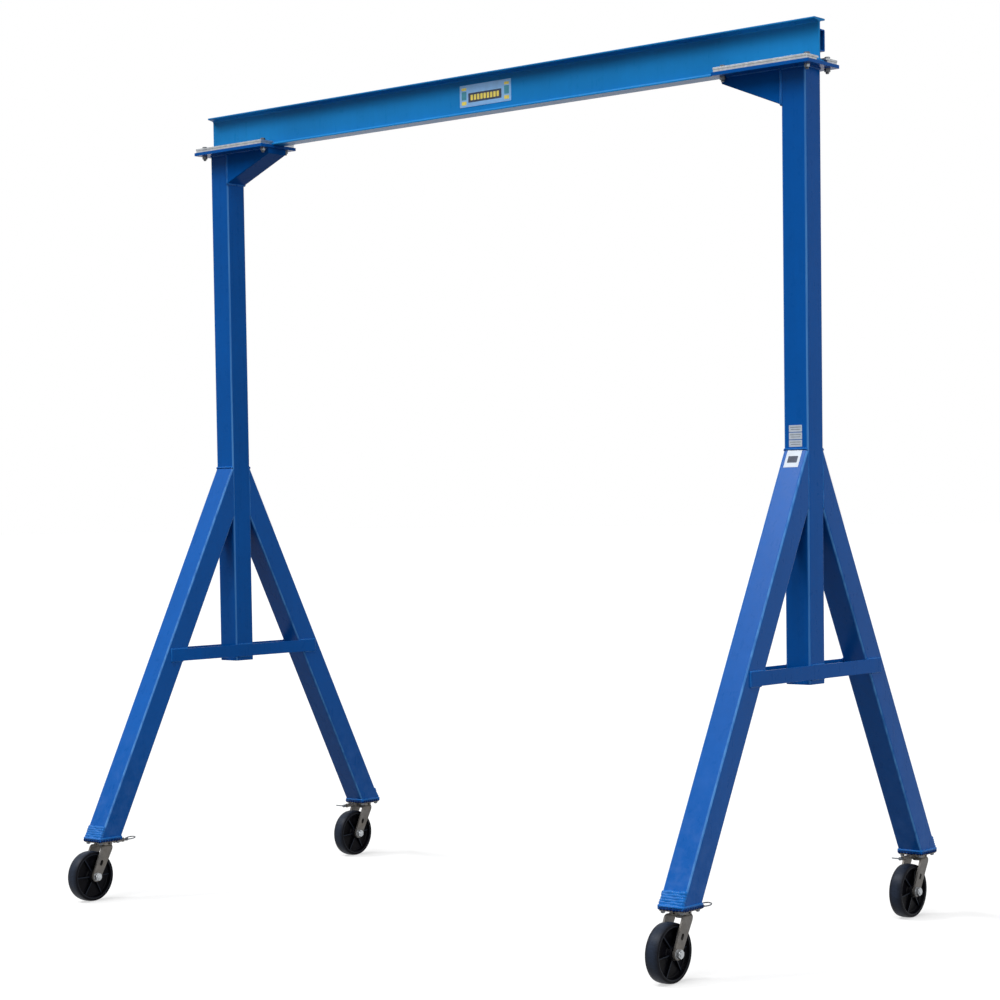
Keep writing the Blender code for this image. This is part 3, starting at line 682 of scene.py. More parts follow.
def plain_steel(shader, finish):
    """Turned steel with a thin film of grease."""
    place = shader.place()
    cloud = shader.noise(place, 70.0, 4.0)
    rings = shader.noise(shader.stretched(place, (1500.0, 40.0, 40.0)), 1.0, 1.0)
    base = shader.mix(shader.spread(cloud, 0.3, 0.7), shade(finish.steel, 0.6), shade(finish.steel, 1.1))
    shader.surface_sockets({
        "Base Color": base,
        "Metallic": 0.9,
        "Roughness": 0.28 + 0.2 * cloud,
        "Normal": shader.bump(rings, 0.00006, 0.5),
    })


def plain_label(shader, finish):
    """White vinyl, a little uneven and marked by rubbing."""
    place = shader.place()
    cloud = shader.noise(place, 60.0, 4.0)
    rubs = shader.noise(shader.stretched(place, (30.0, 30.0, 400.0)), 1.0, 3.0)
    tone = shader.spread(0.6 * cloud + 0.4 * rubs, 0.35, 0.65)
    base = shader.mix(tone, shade(finish.vinyl, 0.86), shade(finish.vinyl, 1.04))
    shader.surface_sockets({
        "Base Color": base,
        "Roughness": 0.34 + 0.12 * cloud,
        "Normal": shader.bump(cloud, 0.00005, 0.5),
    })


def label_line(shader, finish):
    dark_label(shader, finish, finish.line)


def dark_label(shader, finish, ink=None):
    """The dark field of a label."""
    ink = ink or finish.band
    place = shader.place()
    cloud = shader.noise(place, 80.0, 4.0)
    base = shader.mix(shader.spread(cloud, 0.3, 0.7), shade(ink, 0.8), shade(ink, 1.5))
    shader.surface_sockets({
        "Base Color": base,
        "Roughness": 0.36 + 0.14 * cloud,
        "Specular IOR Level": 0.12,
        "Normal": shader.bump(cloud, 0.00005, 0.5),
    })


def plate_face(shader, finish):
    """Pale anodised plate, marked by rubbing along its length."""
    place = shader.place()
    lines = shader.noise(shader.stretched(place, (8.0, 500.0, 500.0)), 1.0, 3.0)
    cloud = shader.noise(place, 40.0, 3.0)
    tone = shader.spread(0.5 * lines + 0.5 * cloud, 0.35, 0.65)
    base = shader.mix(tone, shade(finish.plate, 0.88), shade(finish.plate, 1.08))
    shader.surface_sockets({
        "Base Color": base,
        "Metallic": 0.15,
        "Roughness": 0.32 + 0.15 * cloud,
        "Normal": shader.bump(lines, 0.00005, 0.5),
    })


def plate_patch(shader, finish):
    plate_bar(shader, finish, finish.patch)


def plate_bar(shader, finish, ink=None):
    """Plain ink on the nameplate."""
    ink = ink or finish.bar
    place = shader.place()
    cloud = shader.noise(place, 70.0, 4.0)
    base = shader.mix(shader.spread(cloud, 0.3, 0.7), shade(ink, 0.8), shade(ink, 1.1))
    shader.surface_sockets({
        "Base Color": base,
        "Roughness": 0.36 + 0.1 * cloud,
        "Normal": shader.bump(cloud, 0.00004, 0.5),
    })


LOOKS = {look.__name__: look for look in (
    blue_paint, leg_paint, gusset_paint, weld_paint, rim_paint, beam_paint, bright_zinc, bolt_zinc, dull_zinc,
    wheel_side, wheel_tread, plain_steel, plain_label, dark_label, label_line, plate_face, plate_bar,
    plate_patch,
)}


def material(name):
    """The named finish, made once."""
    made = bpy.data.materials.get(f"crane_{name}")
    if made is None:
        shader = Shader(f"crane_{name}")
        LOOKS[name](shader, bpy.context.scene.crane_finish)
        made = shader.material
    return made


# Places


def frame_place(side):
    """From an A-frame's own axes, with +X towards the other A-frame, to its place."""
    return at(middle(f"post_{side}").x, CENTRE_Y, 0) @ turn(0 if side == "left" else HALF_TURN)


def leg_place(side, row):
    """The leg's own place; the right A-frame is turned already, so its rows swap."""
    return frame_place(side) @ turn(0 if (row == "back") == (side == "left") else HALF_TURN)


def swivel_place(corner):
    axis = JOINTS[f"caster_swivel_{corner}"]
    return at(axis.x, axis.y, 0)


def lock_turn(corner):
    """Every lock points to the middle of the crane."""
    return turn(0 if corner.endswith("front") else HALF_TURN)


def hub_place(corner):
    return Matrix.Translation(JOINTS[f"wheel_spin_{corner}"])


# Fasteners


def hexagon(flats, height):
    """A hexagon standing on z = 0 with its upper corners turned off."""
    corner = flats / math.sqrt(3)
    bm = bmesh.new()
    bmesh.ops.create_cone(
        bm,
        cap_ends=True,
        segments=6,
        radius1=corner,
        radius2=corner,
        depth=2 * height,
        matrix=at(0, 0, height / 2),
    )
    wide, rim = 1.1 * corner, 0.48 * flats
    shoulder = height - (wide - rim) * math.tan(math.radians(30))
    turned_off = lathe([(0, 0), (wide, 0), (wide, shoulder), (rim, height), (0, height)])
    return soften(boolean(bm, turned_off, "INTERSECT"), 0.0003, 1)


def thread(radius, low, high, pitch):
    """A threaded end down to low, drawn as grooves side by side."""
    depth = 0.55 * pitch
    profile = [(0, low), (radius - depth, low), (radius - depth / 4, low + pitch / 2)]
    height = low + pitch / 2
    while height + pitch < high:
        profile += [(radius - depth, height + 0.4 * pitch), (radius, height + 0.85 * pitch)]
        height += pitch
        profile.append((radius, height + 0.05 * pitch))
    return lathe(profile + [(radius, high), (0, high)], 32)


def washer(bore, radius, low, high):
    rim = [(bore, low), (radius - 0.0004, low), (radius, low + 0.0004)]
    return lathe(rim + [(radius, high - 0.0004), (radius - 0.0004, high), (bore, high)], 40, True)


def fastener(diameter, flats, head, grip, nut, tail, washers=0.002, pitch=0.0018):
    """A bolt down -Z from z = 0, with washers, nut and threaded tail, past a grip."""
    radius = diameter / 2
    under = -(grip + washers)
    parts = [
        moved(hexagon(flats, head), at(0, 0, washers)),
        washer(radius, 0.57 * flats, 0, washers),
        washer(radius, 0.57 * flats, under, -grip),
        moved(hexagon(flats, nut), at(0, 0, under), turn(HALF_TURN, "X"), turn(math.pi / 6)),
        thread(radius, -(grip + nut + tail), washers + head / 2, pitch),
    ]
    return merged(*parts)


def drilled(bm, side, row, low, high):
    """A plate or bar with both bolt holes of one clamp cut through it."""
    for end in ("outer", "inner"):
        bolt = middle(f"clamp_bolt_{side}_{row}_{end}")
        bm = cut(bm, moved(rod(BOLT_HOLE, low - 0.01, high + 0.01), at(bolt.x, bolt.y, 0)))
    return bm


# Operators


class CRANE_OT_beam(bpy.types.Operator):
    """Rolls the beam's section and draws it out to its length"""

    bl_idname = "crane.beam"
    bl_label = "Beam"

    def execute(self, context):
        sizes = context.scene.crane_steelwork
        size = BEAM_HIGH - BEAM_LOW
        half_width, half_depth, half_web = size.y / 2, size.z / 2, sizes.web / 2
        root = half_depth - sizes.toe - (half_width - half_web) / 6
        quarter = [
            (half_width, half_depth, 0.0008),
            (half_width, half_depth - sizes.toe, sizes.toe_radius),
            (half_web, root, sizes.root_radius),
        ]
        right = quarter + [(x, -y, radius) for x, y, radius in reversed(quarter)]
        bm = prism(right + [(-x, y, radius) for x, y, radius in reversed(right)], size.x, 5)
        soften(bm, 0.0004, 1, 60)
        start = Vector((BEAM_LOW.x, CENTRE_Y, (BEAM_LOW.z + BEAM_HIGH.z) / 2))
        show("rolled_beam", moved(bm, Matrix.Translation(start), TO_YZ), "beam_paint",
             ["beam"])
        return {"FINISHED"}


class CRANE_OT_end_stops(bpy.types.Operator):
    """Makes the channels behind the web at both ends of the beam"""

    bl_idname = "crane.end_stops"
    bl_label = "End stops"

    def execute(self, context):
        wall = context.scene.crane_steelwork.stop_wall
        for side, _ in SIDES:
            node = f"end_stop_{side}"
            size, low = span(node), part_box(node)[0]
            half, inner = size.z / 2, size.z / 2 - wall
            outline = [(0, -half, 0), (size.y, -half, wall), (size.y, half, wall), (0, half, 0)]
            outline += [(0, inner, wall / 3), (size.y - wall, inner, wall / 3)]
            outline += [(size.y - wall, -inner, wall / 3), (0, -inner, wall / 3)]
            bm = prism(outline, size.x, 4)
            soften(bm, 0.0005, 1, 60)
            place = at(low.x, low.y, middle(node).z)
            show(f"stop_channel_{side}", moved(bm, place, TO_YZ), "blue_paint", [node])
        return {"FINISHED"}


class CRANE_OT_posts(bpy.types.Operator):
    """Makes both posts of square tube"""

    bl_idname = "crane.posts"
    bl_label = "Posts"

    def execute(self, context):
        sizes = context.scene.crane_steelwork
        bm = tube_section(sizes)
        extrude(bm, (0, 0, POST_HIGH.z - POST_LOW.z))
        soften(bm, 0.0006, 1, 60)
        mesh = as_mesh(moved(bm, at(0, 0, POST_LOW.z)))
        for side, _ in SIDES:
            show(f"tube_post_{side}", mesh, "blue_paint", [f"post_{side}"],
                 place=frame_place(side))
        return {"FINISHED"}


class CRANE_OT_legs(bpy.types.Operator):
    """Makes the four legs: tubes mitred against the post and cut level at the foot"""

    bl_idname = "crane.legs"
    bl_label = "Legs"

    def execute(self, context):
        sizes = context.scene.crane_steelwork
        along = Vector((0, math.sin(LEG_ANGLE), -math.cos(LEG_ANGLE)))
        outwards = Vector((0, math.cos(LEG_ANGLE), math.sin(LEG_ANGLE)))
        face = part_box("leg_left_back")[0].y - CENTRE_Y
        centre = Vector((0, face, LEG_TOP)) - outwards * TUBE / 2
        axes = Matrix((Vector((1, 0, 0)), outwards, along)).transposed().to_4x4()
        bm = tube_section(sizes)
        moved(bm, Matrix.Translation(centre), axes)
        near = bm.verts[:]
        far = extrude(bm, along)
        for vert in near:
            vert.co += along * (face - vert.co.y) / along.y
        for vert in far:
            vert.co += along * (LEG_FOOT - vert.co.z) / along.z
        bmesh.ops.recalc_face_normals(bm, faces=bm.faces)
        mesh = as_mesh(bm)
        for corner in CORNERS:
            show(f"tube_leg_{corner}", mesh, "leg_paint", [f"leg_{corner}"],
                 place=leg_place(*corner.split("_")))
        return {"FINISHED"}


class CRANE_OT_cross_bars(bpy.types.Operator):
    """Makes the flat bars across both faces of each A-frame"""

    bl_idname = "crane.cross_bars"
    bl_label = "Cross bars"

    def execute(self, context):
        edge = context.scene.crane_steelwork.edge
        for side, _ in SIDES:
            for where in ("outer", "inner"):
                node = f"cross_bar_{side}_{where}"
                low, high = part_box(node)
                show(f"flat_bar_{side}_{where}", block(low, high, edge), "blue_paint",
                     [node])
        return {"FINISHED"}


class CRANE_OT_top_plates(bpy.types.Operator):
    """Makes the plates on the posts, with their bolt holes"""

    bl_idname = "crane.top_plates"
    bl_label = "Top plates"

    def execute(self, context):
        edge = context.scene.crane_steelwork.edge
        for side, _ in SIDES:
            node = f"top_plate_{side}"
            low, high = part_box(node)
            bm = block(low, high, edge)
            for row, _ in ROWS:
                bm = drilled(bm, side, row, low.z, high.z)
            show(f"bolted_plate_{side}", bm, "blue_paint", [node])
        return {"FINISHED"}


class CRANE_OT_gussets(bpy.types.Operator):
    """Makes the folded gussets under the plates"""

    bl_idname = "crane.gussets"
    bl_label = "Gussets"

    def execute(self, context):
        fold = context.scene.crane_steelwork.fold_radius
        low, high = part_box("gusset_left")
        reach, drop = high.x - low.x, high.z - low.z
        nose = 0.022  # depth of the gusset at its free end
        outline = [(0, 0, 0), (0, -drop, 0), (reach, -nose, 0.005), (reach, 0, 0)]
        bm = prism(outline, high.y - low.y, 4)
        bm.normal_update()
        slope = [e for e in bm.edges if is_fold(e)]
        bevel(bm, slope, fold, 4, affect="EDGES", offset_type="OFFSET", clamp_overlap=True)
        moved(bm, at(0, (high.y - low.y) / 2, high.z), TO_XZ)
        mesh = as_mesh(bm)
        shift = low.x - middle("post_left").x
        for side, _ in SIDES:
            show(f"folded_gusset_{side}", mesh, "gusset_paint", [f"gusset_{side}"],
                 place=frame_place(side) @ at(shift, 0, 0))
        return {"FINISHED"}


def is_fold(edge):
    """An edge of the gusset along its sloping lower face or its nose."""
    first, second = (vert.co for vert in edge.verts)
    flat = abs(first.z - second.z) < MERGE
    lower = first.y < -MERGE and second.y < -MERGE
    upright = abs(first.x - second.x) < MERGE and first.x < MERGE
    return flat and lower and not upright


class CRANE_OT_clamps(bpy.types.Operator):
    """Makes the zinc plated clamp bars, a spacer under a lipped cap, with their bolts"""

    bl_idname = "crane.clamps"
    bl_label = "Clamps"

    def execute(self, context):
        edge = context.scene.crane_steelwork.edge
        for side, _ in SIDES:
            for row, sy in ROWS:
                node = f"clamp_bar_{side}_{row}"
                low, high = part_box(node)
                seam = high.z - 0.008
                flange = CENTRE_Y + sy * (span("beam").y / 2 + 0.0005)
                lower = [Vector((low.x + 0.001, low.y, low.z)), Vector((high.x - 0.001, high.y, seam))]
                lower[0].y, lower[1].y = (low.y + 0.001, flange) if sy < 0 else (flange, high.y - 0.001)
                parts = []
                for start, end in (lower, (Vector((low.x, low.y, seam + 0.0004)), high)):
                    bm = block(start, end, edge)
                    parts.append(drilled(bm, side, row, start.z, end.z))
                show(f"flange_clamp_{side}_{row}", merged(*parts), "bright_zinc",
                     [node])
        self.bolts()
        return {"FINISHED"}

    def bolts(self):
        low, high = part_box("clamp_bolt_left_front_outer")
        head_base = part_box("clamp_bar_left_front")[1].z
        plate_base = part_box("top_plate_left")[0].z
        mesh = as_mesh(fastener(0.0127, 0.01905, high.z - head_base, head_base - plate_base,
                                0.0111, plate_base - low.z - 0.0111))
        for side, _ in SIDES:
            for row, _ in ROWS:
                for end in ("outer", "inner"):
                    node = f"clamp_bolt_{side}_{row}_{end}"
                    centre = middle(node)
                    spin = turn(0.7 * centre.x + 5 * centre.y)
                    show(f"hex_bolt_{side}_{row}_{end}", mesh, "bolt_zinc", [node],
                         place=at(centre.x, centre.y, head_base) @ spin)


class CRANE_OT_foot_plates(bpy.types.Operator):
    """Makes the plates under the legs"""

    bl_idname = "crane.foot_plates"
    bl_label = "Foot plates"

    def execute(self, context):
        edge = context.scene.crane_steelwork.edge
        for corner in CORNERS:
            node = f"foot_plate_{corner}"
            size, centre = span(node), middle(node)
            bm = rectangle(size.x - 0.008, size.y - 0.008, 0.005, 4)
            extrude(bm, (0, 0, size.z))
            soften(bm, 1.5 * edge, 2, 60)
            show(f"foot_base_{corner}", moved(bm, at(centre.x, centre.y, centre.z - size.z / 2)),
                 "blue_paint", [node])
        return {"FINISHED"}


class CRANE_OT_welds(bpy.types.Operator):
    """Lays the weld beads of both A-frames"""

    bl_idname = "crane.welds"
    bl_label = "Welds"

    def execute(self, context):
        sizes = context.scene.crane_steelwork
        for side, _ in SIDES:
            beads, rims = Welder(sizes.ripple), Welder(sizes.ripple)
            self.post(beads, sizes)
            for sy in (-1, 1):
                self.leg(beads, sizes, sy)
                self.foot(beads, rims, sizes, sy)
            # The weld beads take a lighter blue, a painted highlight; the beads under the foot plates' edges
            # take a much darker blue, a painted shade.
            rows = (("weld_beads", beads, "weld_paint"), ("rim_welds", rims, "rim_paint"))
            for name, welder, look in rows:
                mesh = welder.mesh()
                mesh.transform(frame_place(side))
                show(f"{name}_{side}", mesh, look, smooth=60)
        return {"FINISHED"}

    def post(self, welder, sizes):
        """Round the post's top, along the gusset, and where the cross bars pass the post."""
        half, bead = TUBE / 2, sizes.weld
        under = POST_HIGH.z
        welder.bead(ring_path(TUBE, TUBE, sizes.tube_radius, under - 0.001), bead)
        low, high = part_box("gusset_left")
        reach, drop = high.x - low.x, high.z - low.z
        for sy in (-1, 1):
            y = sy * (half - 0.001)
            corner = Vector((half, y, under - drop))
            welder.bead([Vector((half, y, under)), corner, Vector((half, 0, under - drop))], 1.25 * bead)
            welder.bead([Vector((half, y, under)), Vector((half + reach, y, under))], 0.8 * bead)
        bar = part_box("cross_bar_left_inner")
        for sx in (-1, 1):
            for z in (bar[0].z, bar[1].z):
                x = sx * (half + 0.001)
                ends = [Vector((x, sy * (half - 0.008), z)) for sy in (-1, 1)]
                welder.bead(ends, 0.95 * bead)

    def leg(self, welder, sizes, sy):
        """Round the leg's mitre on the post, and where the cross bars pass the leg."""
        half, bead = TUBE / 2, sizes.weld
        slope = math.tan(LEG_ANGLE)
        drop = TUBE / math.sin(LEG_ANGLE)
        inset = sizes.tube_radius * 0.55
        y, low = sy * (half + 0.0015), LEG_TOP - drop
        across = [(half - 0.003, LEG_TOP - 0.006), (half - inset, LEG_TOP)]
        across += [(-x, z) for x, z in reversed(across)]
        welder.bead([Vector((x, y, z)) for x, z in across], 0.85 * bead, 0.4)
        welder.bead([Vector((x, y, low)) for x in (half - inset, inset - half)], 1.1 * bead)
        for sx in (-1, 1):
            side_x = sx * (half - 0.0047)
            side = [Vector((side_x, sy * (half - 0.003), LEG_TOP - part * drop)) for part in (0.04, 0.95)]
            welder.bead(side, 1.33 * bead, 0.06)
        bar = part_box("cross_bar_left_inner")
        end = (bar[1].y - bar[0].y) / 2
        width = TUBE / math.cos(LEG_ANGLE)
        for sx in (-1, 1):
            x = sx * (half + 0.001)
            points = []
            for z in (bar[1].z, bar[0].z):
                inner = half + (LEG_TOP - z) * slope - width + 0.004
                row = [Vector((x, sy * inner, z)), Vector((x, sy * (end + 0.001), z))]
                points += row if not points else reversed(row)
            welder.bead(points, 0.95 * bead)

    def foot(self, welder, rims, sizes, sy):
        """Round the leg's base, the pad of beads on its outer face, and the foot plate's edge."""
        plate_low, plate_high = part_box("foot_plate_left_back")
        size = plate_high - plate_low
        width = TUBE / math.cos(LEG_ANGLE)
        centre = Vector((0, sy * FOOT_REACH, 0))

        def laid(path):
            return [point + centre for point in path]

        base = ring_path(TUBE + 0.001, width + 0.001, sizes.tube_radius, plate_high.z + 0.001)
        welder.bead(laid(base), 1.15 * sizes.weld, 0.07, 0.006)
        rim = sizes.foot_bead
        rows = (
            (rims, plate_low.z + 0.0018, 0.0, rim, 0.9, 0.0005),
            (welder, plate_high.z - 0.001, 0.003, 0.8 * rim, 0.12, 0.0004),
        )
        for beads, height, inset, radius, ripple, sway in rows:
            most = radius * (1.12 + ripple / 2)
            edge = size - Vector((2, 2, 0)) * (most + inset)
            path = ring_path(edge.x, edge.y, 0.004, height)
            beads.bead(laid(path), radius, ripple, 0.0135, sway)
        self.pad(welder, sizes, sy)

    def pad(self, welder, sizes, sy):
        """Wavy beads one above the other across the leg's outer face."""
        outwards = Vector((0, sy * math.cos(LEG_ANGLE), math.sin(LEG_ANGLE)))
        up = Vector((0, -sy * math.sin(LEG_ANGLE), math.cos(LEG_ANGLE)))
        foot = Vector((0, sy * (TUBE / 2 + (LEG_TOP - LEG_FOOT) * math.tan(LEG_ANGLE)), LEG_FOOT))
        half = TUBE / 2 - 0.0048
        count = 6
        inset = sizes.pad_bead - sizes.pad_proud
        for index in range(count):
            rise = sizes.pad_rise * (index + 0.35) / count
            centre = foot + up * rise - outwards * inset
            ends = [centre + Vector((sx * half, 0, 0)) for sx in (-1, 1)]
            back = [end - outwards * 0.004 for end in ends]
            sway = 0.0004 + 0.0009 * (index / count) ** 2
            welder.bead([back[0], *ends, back[1]], sizes.pad_bead, 0.05, 0.0075, sway)


class CRANE_OT_labels(bpy.types.Operator):
    """Makes the nameplate on the web and the labels on the right A-frame, with nothing written on them"""

    bl_idname = "crane.labels"
    bl_label = "Labels"

    def execute(self, context):
        web = context.scene.crane_steelwork.web
        self.nameplate(web)
        post = middle("post_right")
        face = CENTRE_Y - TUBE / 2
        width, height = 0.054, 0.0236
        top, pitch = 1.8475, 0.0262  # top edge of the highest label, and from one to the next
        for index in range(3):
            z = top - index * pitch
            parts = [(self.card(width, height, 0.0004), 0)]
            for rise, long in ((0.0045, 0.044), (-0.0035, 0.038)):
                line = self.card(long, 0.0022, 0.0002, 0.0005)
                parts.append((moved(line, at(0, -0.0004, rise)), 1))
            place = at(post.x - 0.001, face, z - height / 2)
            show(f"post_label_{index + 1}", moved(merged(*parts), place),
                 ["plain_label", "label_line"])
        self.leg_label(post.x)
        return {"FINISHED"}

    def card(self, width, height, thickness, radius=0.0015):
        """A thin card in X and Z, its back on y = 0 and its face towards -Y."""
        bm = rectangle(width, height, radius, 3)
        extrude(bm, (0, 0, thickness))
        return moved(bm, TO_XZ)

    def nameplate(self, web):
        """A pale plate with a dark band, plain bars and patches on it; nothing is written."""
        width, height = 0.26, 0.085
        parts = [
            (self.card(width, height, 0.0010, 0.003), 0),
            (moved(self.card(0.168, 0.036, 0.0003, 0.001), at(-0.002, -0.0010, -0.008)), 1),
        ]
        for index in range(9):
            bar = self.card(0.0115, 0.021, 0.0002, 0.002)
            parts.append((moved(bar, at(0.0165 * (index - 4) - 0.002, -0.0013, -0.008)), 2))
        for sx in (-1, 1):
            for z, tall, look in ((0.027, 0.010, 2), (0.002, 0.032, 3), (-0.027, 0.014, 2)):
                patch = self.card(0.024, tall, 0.0002, 0.002)
                parts.append((moved(patch, at(sx * 0.108, -0.0010, z)), look))
        place = at(0.005, CENTRE_Y - web / 2, 3.1825)
        show("web_nameplate", moved(merged(*parts), place),
             ["plate_face", "dark_label", "plate_bar", "plate_patch"])

    def leg_label(self, x):
        """A white label with a dark field at the top of the right front leg."""
        card = self.card(0.060, 0.070, 0.0004)
        field = moved(self.card(0.040, 0.026, 0.0002), at(0, -0.0004, -0.004))
        lean = turn(-LEG_ANGLE, "X")
        down_face = 0.037  # from the leg's top to the label's middle
        outwards = Vector((0, -math.cos(LEG_ANGLE), math.sin(LEG_ANGLE)))
        down = Vector((0, -math.sin(LEG_ANGLE), -math.cos(LEG_ANGLE)))
        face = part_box("leg_right_front")[1].y
        place = Vector((x - 0.0015, face, LEG_TOP)) + down * down_face + outwards * 0.0001
        show("leg_label", moved(merged((card, 0), (field, 1)), Matrix.Translation(place), lean),
             ["plain_label", "dark_label"])


class CRANE_OT_caster_plates(bpy.types.Operator):
    """Makes the casters' mounting plates with race, kingpin, lock barrel and bolts"""

    bl_idname = "crane.caster_plates"
    bl_label = "Caster plates"

    def execute(self, context):
        sizes = context.scene.crane_casters
        low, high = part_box("caster_plate_left_front")
        fork_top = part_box("caster_fork_left_front")[1].z
        under = high.z - CASTER_PLATE
        crown = fork_top - sizes.race_height
        plate = rectangle(0.1016, 0.1143, 0.010)
        extrude(plate, (0, 0, CASTER_PLATE))
        plate = moved(soften(plate, 0.001, 2, 60), at(0, 0, under))
        race_low = fork_top + 0.0005
        dome = [(0, race_low), (0.036, race_low), (0.0375, race_low + 0.0004), (0.0395, under - 0.0002)]
        race = lathe(dome + [(0.041, under + 0.0004), (0, under + 0.0004)], 64)
        head = low.z + 0.008
        pin = rod(sizes.kingpin, head - 0.001, race_low + 0.001)
        nut = moved(hexagon(0.030, 0.0075), at(0, 0, head), turn(HALF_TURN, "X"))
        stub = rod(0.009, low.z, head, 0.0008)
        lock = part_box("swivel_lock_left_front")[0].z + COLLAR
        barrel = self.barrel(lock, BARREL_START, BARREL_END)
        saddle = block((-0.010, 0.046, crown + 0.0005), (0.010, 0.062, under + 0.002), 0.0012)
        bore = moved(rod(LOCK_BORE, 0.04, 0.07), at(0, 0, lock), turn(LIE_BACK, "X"))
        saddle = cut(saddle, bore)
        parts = [(plate, 0), (race, 0), (pin, 0), (nut, 1), (stub, 1), (barrel, 0), (saddle, 0)]
        for sx in (-1, 1):
            for sy in (-1, 1):
                parts.append((self.stud(sx * 0.0385, sy * 0.0450, under), 1))
        mesh = as_mesh(merged(*parts))
        for corner in CORNERS:
            show(f"swivel_mount_{corner}", mesh, ["dull_zinc", "bolt_zinc"],
                 [f"caster_plate_{corner}"], place=swivel_place(corner) @ lock_turn(corner))
        return {"FINISHED"}

    def barrel(self, height, start, end):
        """The lock's spring housing, with a collar at each end."""
        bore, radius = LOCK_BORE, 0.0085
        outside = [
            (bore, start), (radius, start), (radius, start + 0.004), (radius - 0.0008, start + 0.005),
            (radius - 0.0008, end - 0.009), (radius + 0.0005, end - 0.008), (radius + 0.0005, end - 0.001),
            (radius - 0.0005, end), (bore, end),
        ]
        return moved(lathe(outside, 40, True), at(0, 0, height), turn(LIE_BACK, "X"))

    def stud(self, x, y, under):
        """A mounting bolt's nut and end, under the plate."""
        nut = moved(hexagon(0.0143, 0.0072), turn(HALF_TURN, "X"))
        end = thread(0.00475, -0.0088, 0.001, 0.0016)
        return moved(merged(nut, end), at(x, y, under), turn(9 * x + 7 * y))


class CRANE_OT_forks(bpy.types.Operator):
    """Makes the caster forks: bent plate cut to its side outline, with the notched race"""

    bl_idname = "crane.forks"
    bl_label = "Forks"

    def execute(self, context):
        sizes = context.scene.crane_casters
        low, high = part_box("caster_fork_left_front")
        half = (high.x - low.x) / 2
        top = high.z - sizes.race_height
        swivel = JOINTS["caster_swivel_left_front"]
        hub = JOINTS["wheel_spin_left_front"]
        axle = Vector((hub.y - swivel.y, hub.z))
        fork = boolean(self.bent(sizes, half, top), self.side(sizes, half, top, axle), "INTERSECT")
        race = [(0, top - 0.003), (sizes.race_radius - 0.001, top - 0.003), (sizes.race_radius, top - 0.002)]
        race += [(sizes.race_radius, high.z - 0.0015), (sizes.race_radius - 0.0015, high.z), (0, high.z)]
        fork = boolean(fork, lathe(race, 64), "UNION")
        fork = cut(fork, rod(sizes.kingpin + 0.0006, 0.1, high.z + 0.01))
        for quarter in range(4):
            notch = block((-NOTCH_HALF, NOTCH_START, top), (NOTCH_HALF, 0.06, high.z + 0.01))
            fork = cut(fork, moved(notch, turn(quarter * math.pi / 2)))
        fork = cut(fork, self.slot(sizes, half, top, axle))
        soften(fork, 0.0007, 2, 50)
        mesh = as_mesh(fork)
        for corner in CORNERS:
            show(f"swivel_fork_{corner}", mesh, "dull_zinc", [f"caster_fork_{corner}"],
                 body=f"swivel_{corner}", place=swivel_place(corner))
        return {"FINISHED"}

    def bent(self, sizes, half, top):
        """The plate bent down at both sides, long along Y."""
        plate, bend = sizes.fork_plate, sizes.fork_bend
        inner, under, low = half - plate, top - plate, 0.02
        outline = [(-half, low, 0), (-inner, low, 0), (-inner, under, bend - plate)]
        outline += [(inner, under, bend - plate), (inner, low, 0), (half, low, 0)]
        outline += [(half, top, bend), (-half, top, bend)]
        depth = 0.4  # along Y, well past the side outline that cuts it
        return moved(prism(outline, depth, 8), at(0, depth / 2, 0), TO_XZ)

    def side(self, sizes, half, top, axle):
        """The outline from the side: upright at the crown, then swept back to a round end."""
        radius = sizes.fork_end
        front, back = -sizes.crown_front, sizes.crown_back
        kink = Vector((back - 0.001, top - 0.018))
        down = (axle - Vector(((front + back) / 2, top))).normalized()
        across = Vector((-down.y, down.x))
        end = axle + down * radius
        outline = [(front, top + 0.03, 0), (front, top, 0)]
        outline += [(*(end - across * radius), 0.98 * radius), (*(end + across * radius), 0.98 * radius)]
        outline += [(*kink, 0.03), (back, top + 0.03, 0)]
        return moved(prism(outline, 4 * half, 10), at(-2 * half, 0, 0), TO_YZ)

    def slot(self, sizes, half, top, axle):
        """The oblong hole through both legs."""
        crown = Vector(((sizes.crown_back - sizes.crown_front) / 2, top))
        centre = crown.lerp(axle, 0.57)
        lean = (axle - crown).angle_signed(Vector((0, -1)))
        bm = rectangle(sizes.slot_width, sizes.slot_length, 0.49 * sizes.slot_width)
        extrude(bm, (0, 0, 4 * half))
        return moved(bm, at(-2 * half, *centre), turn(lean, "X"), TO_YZ)


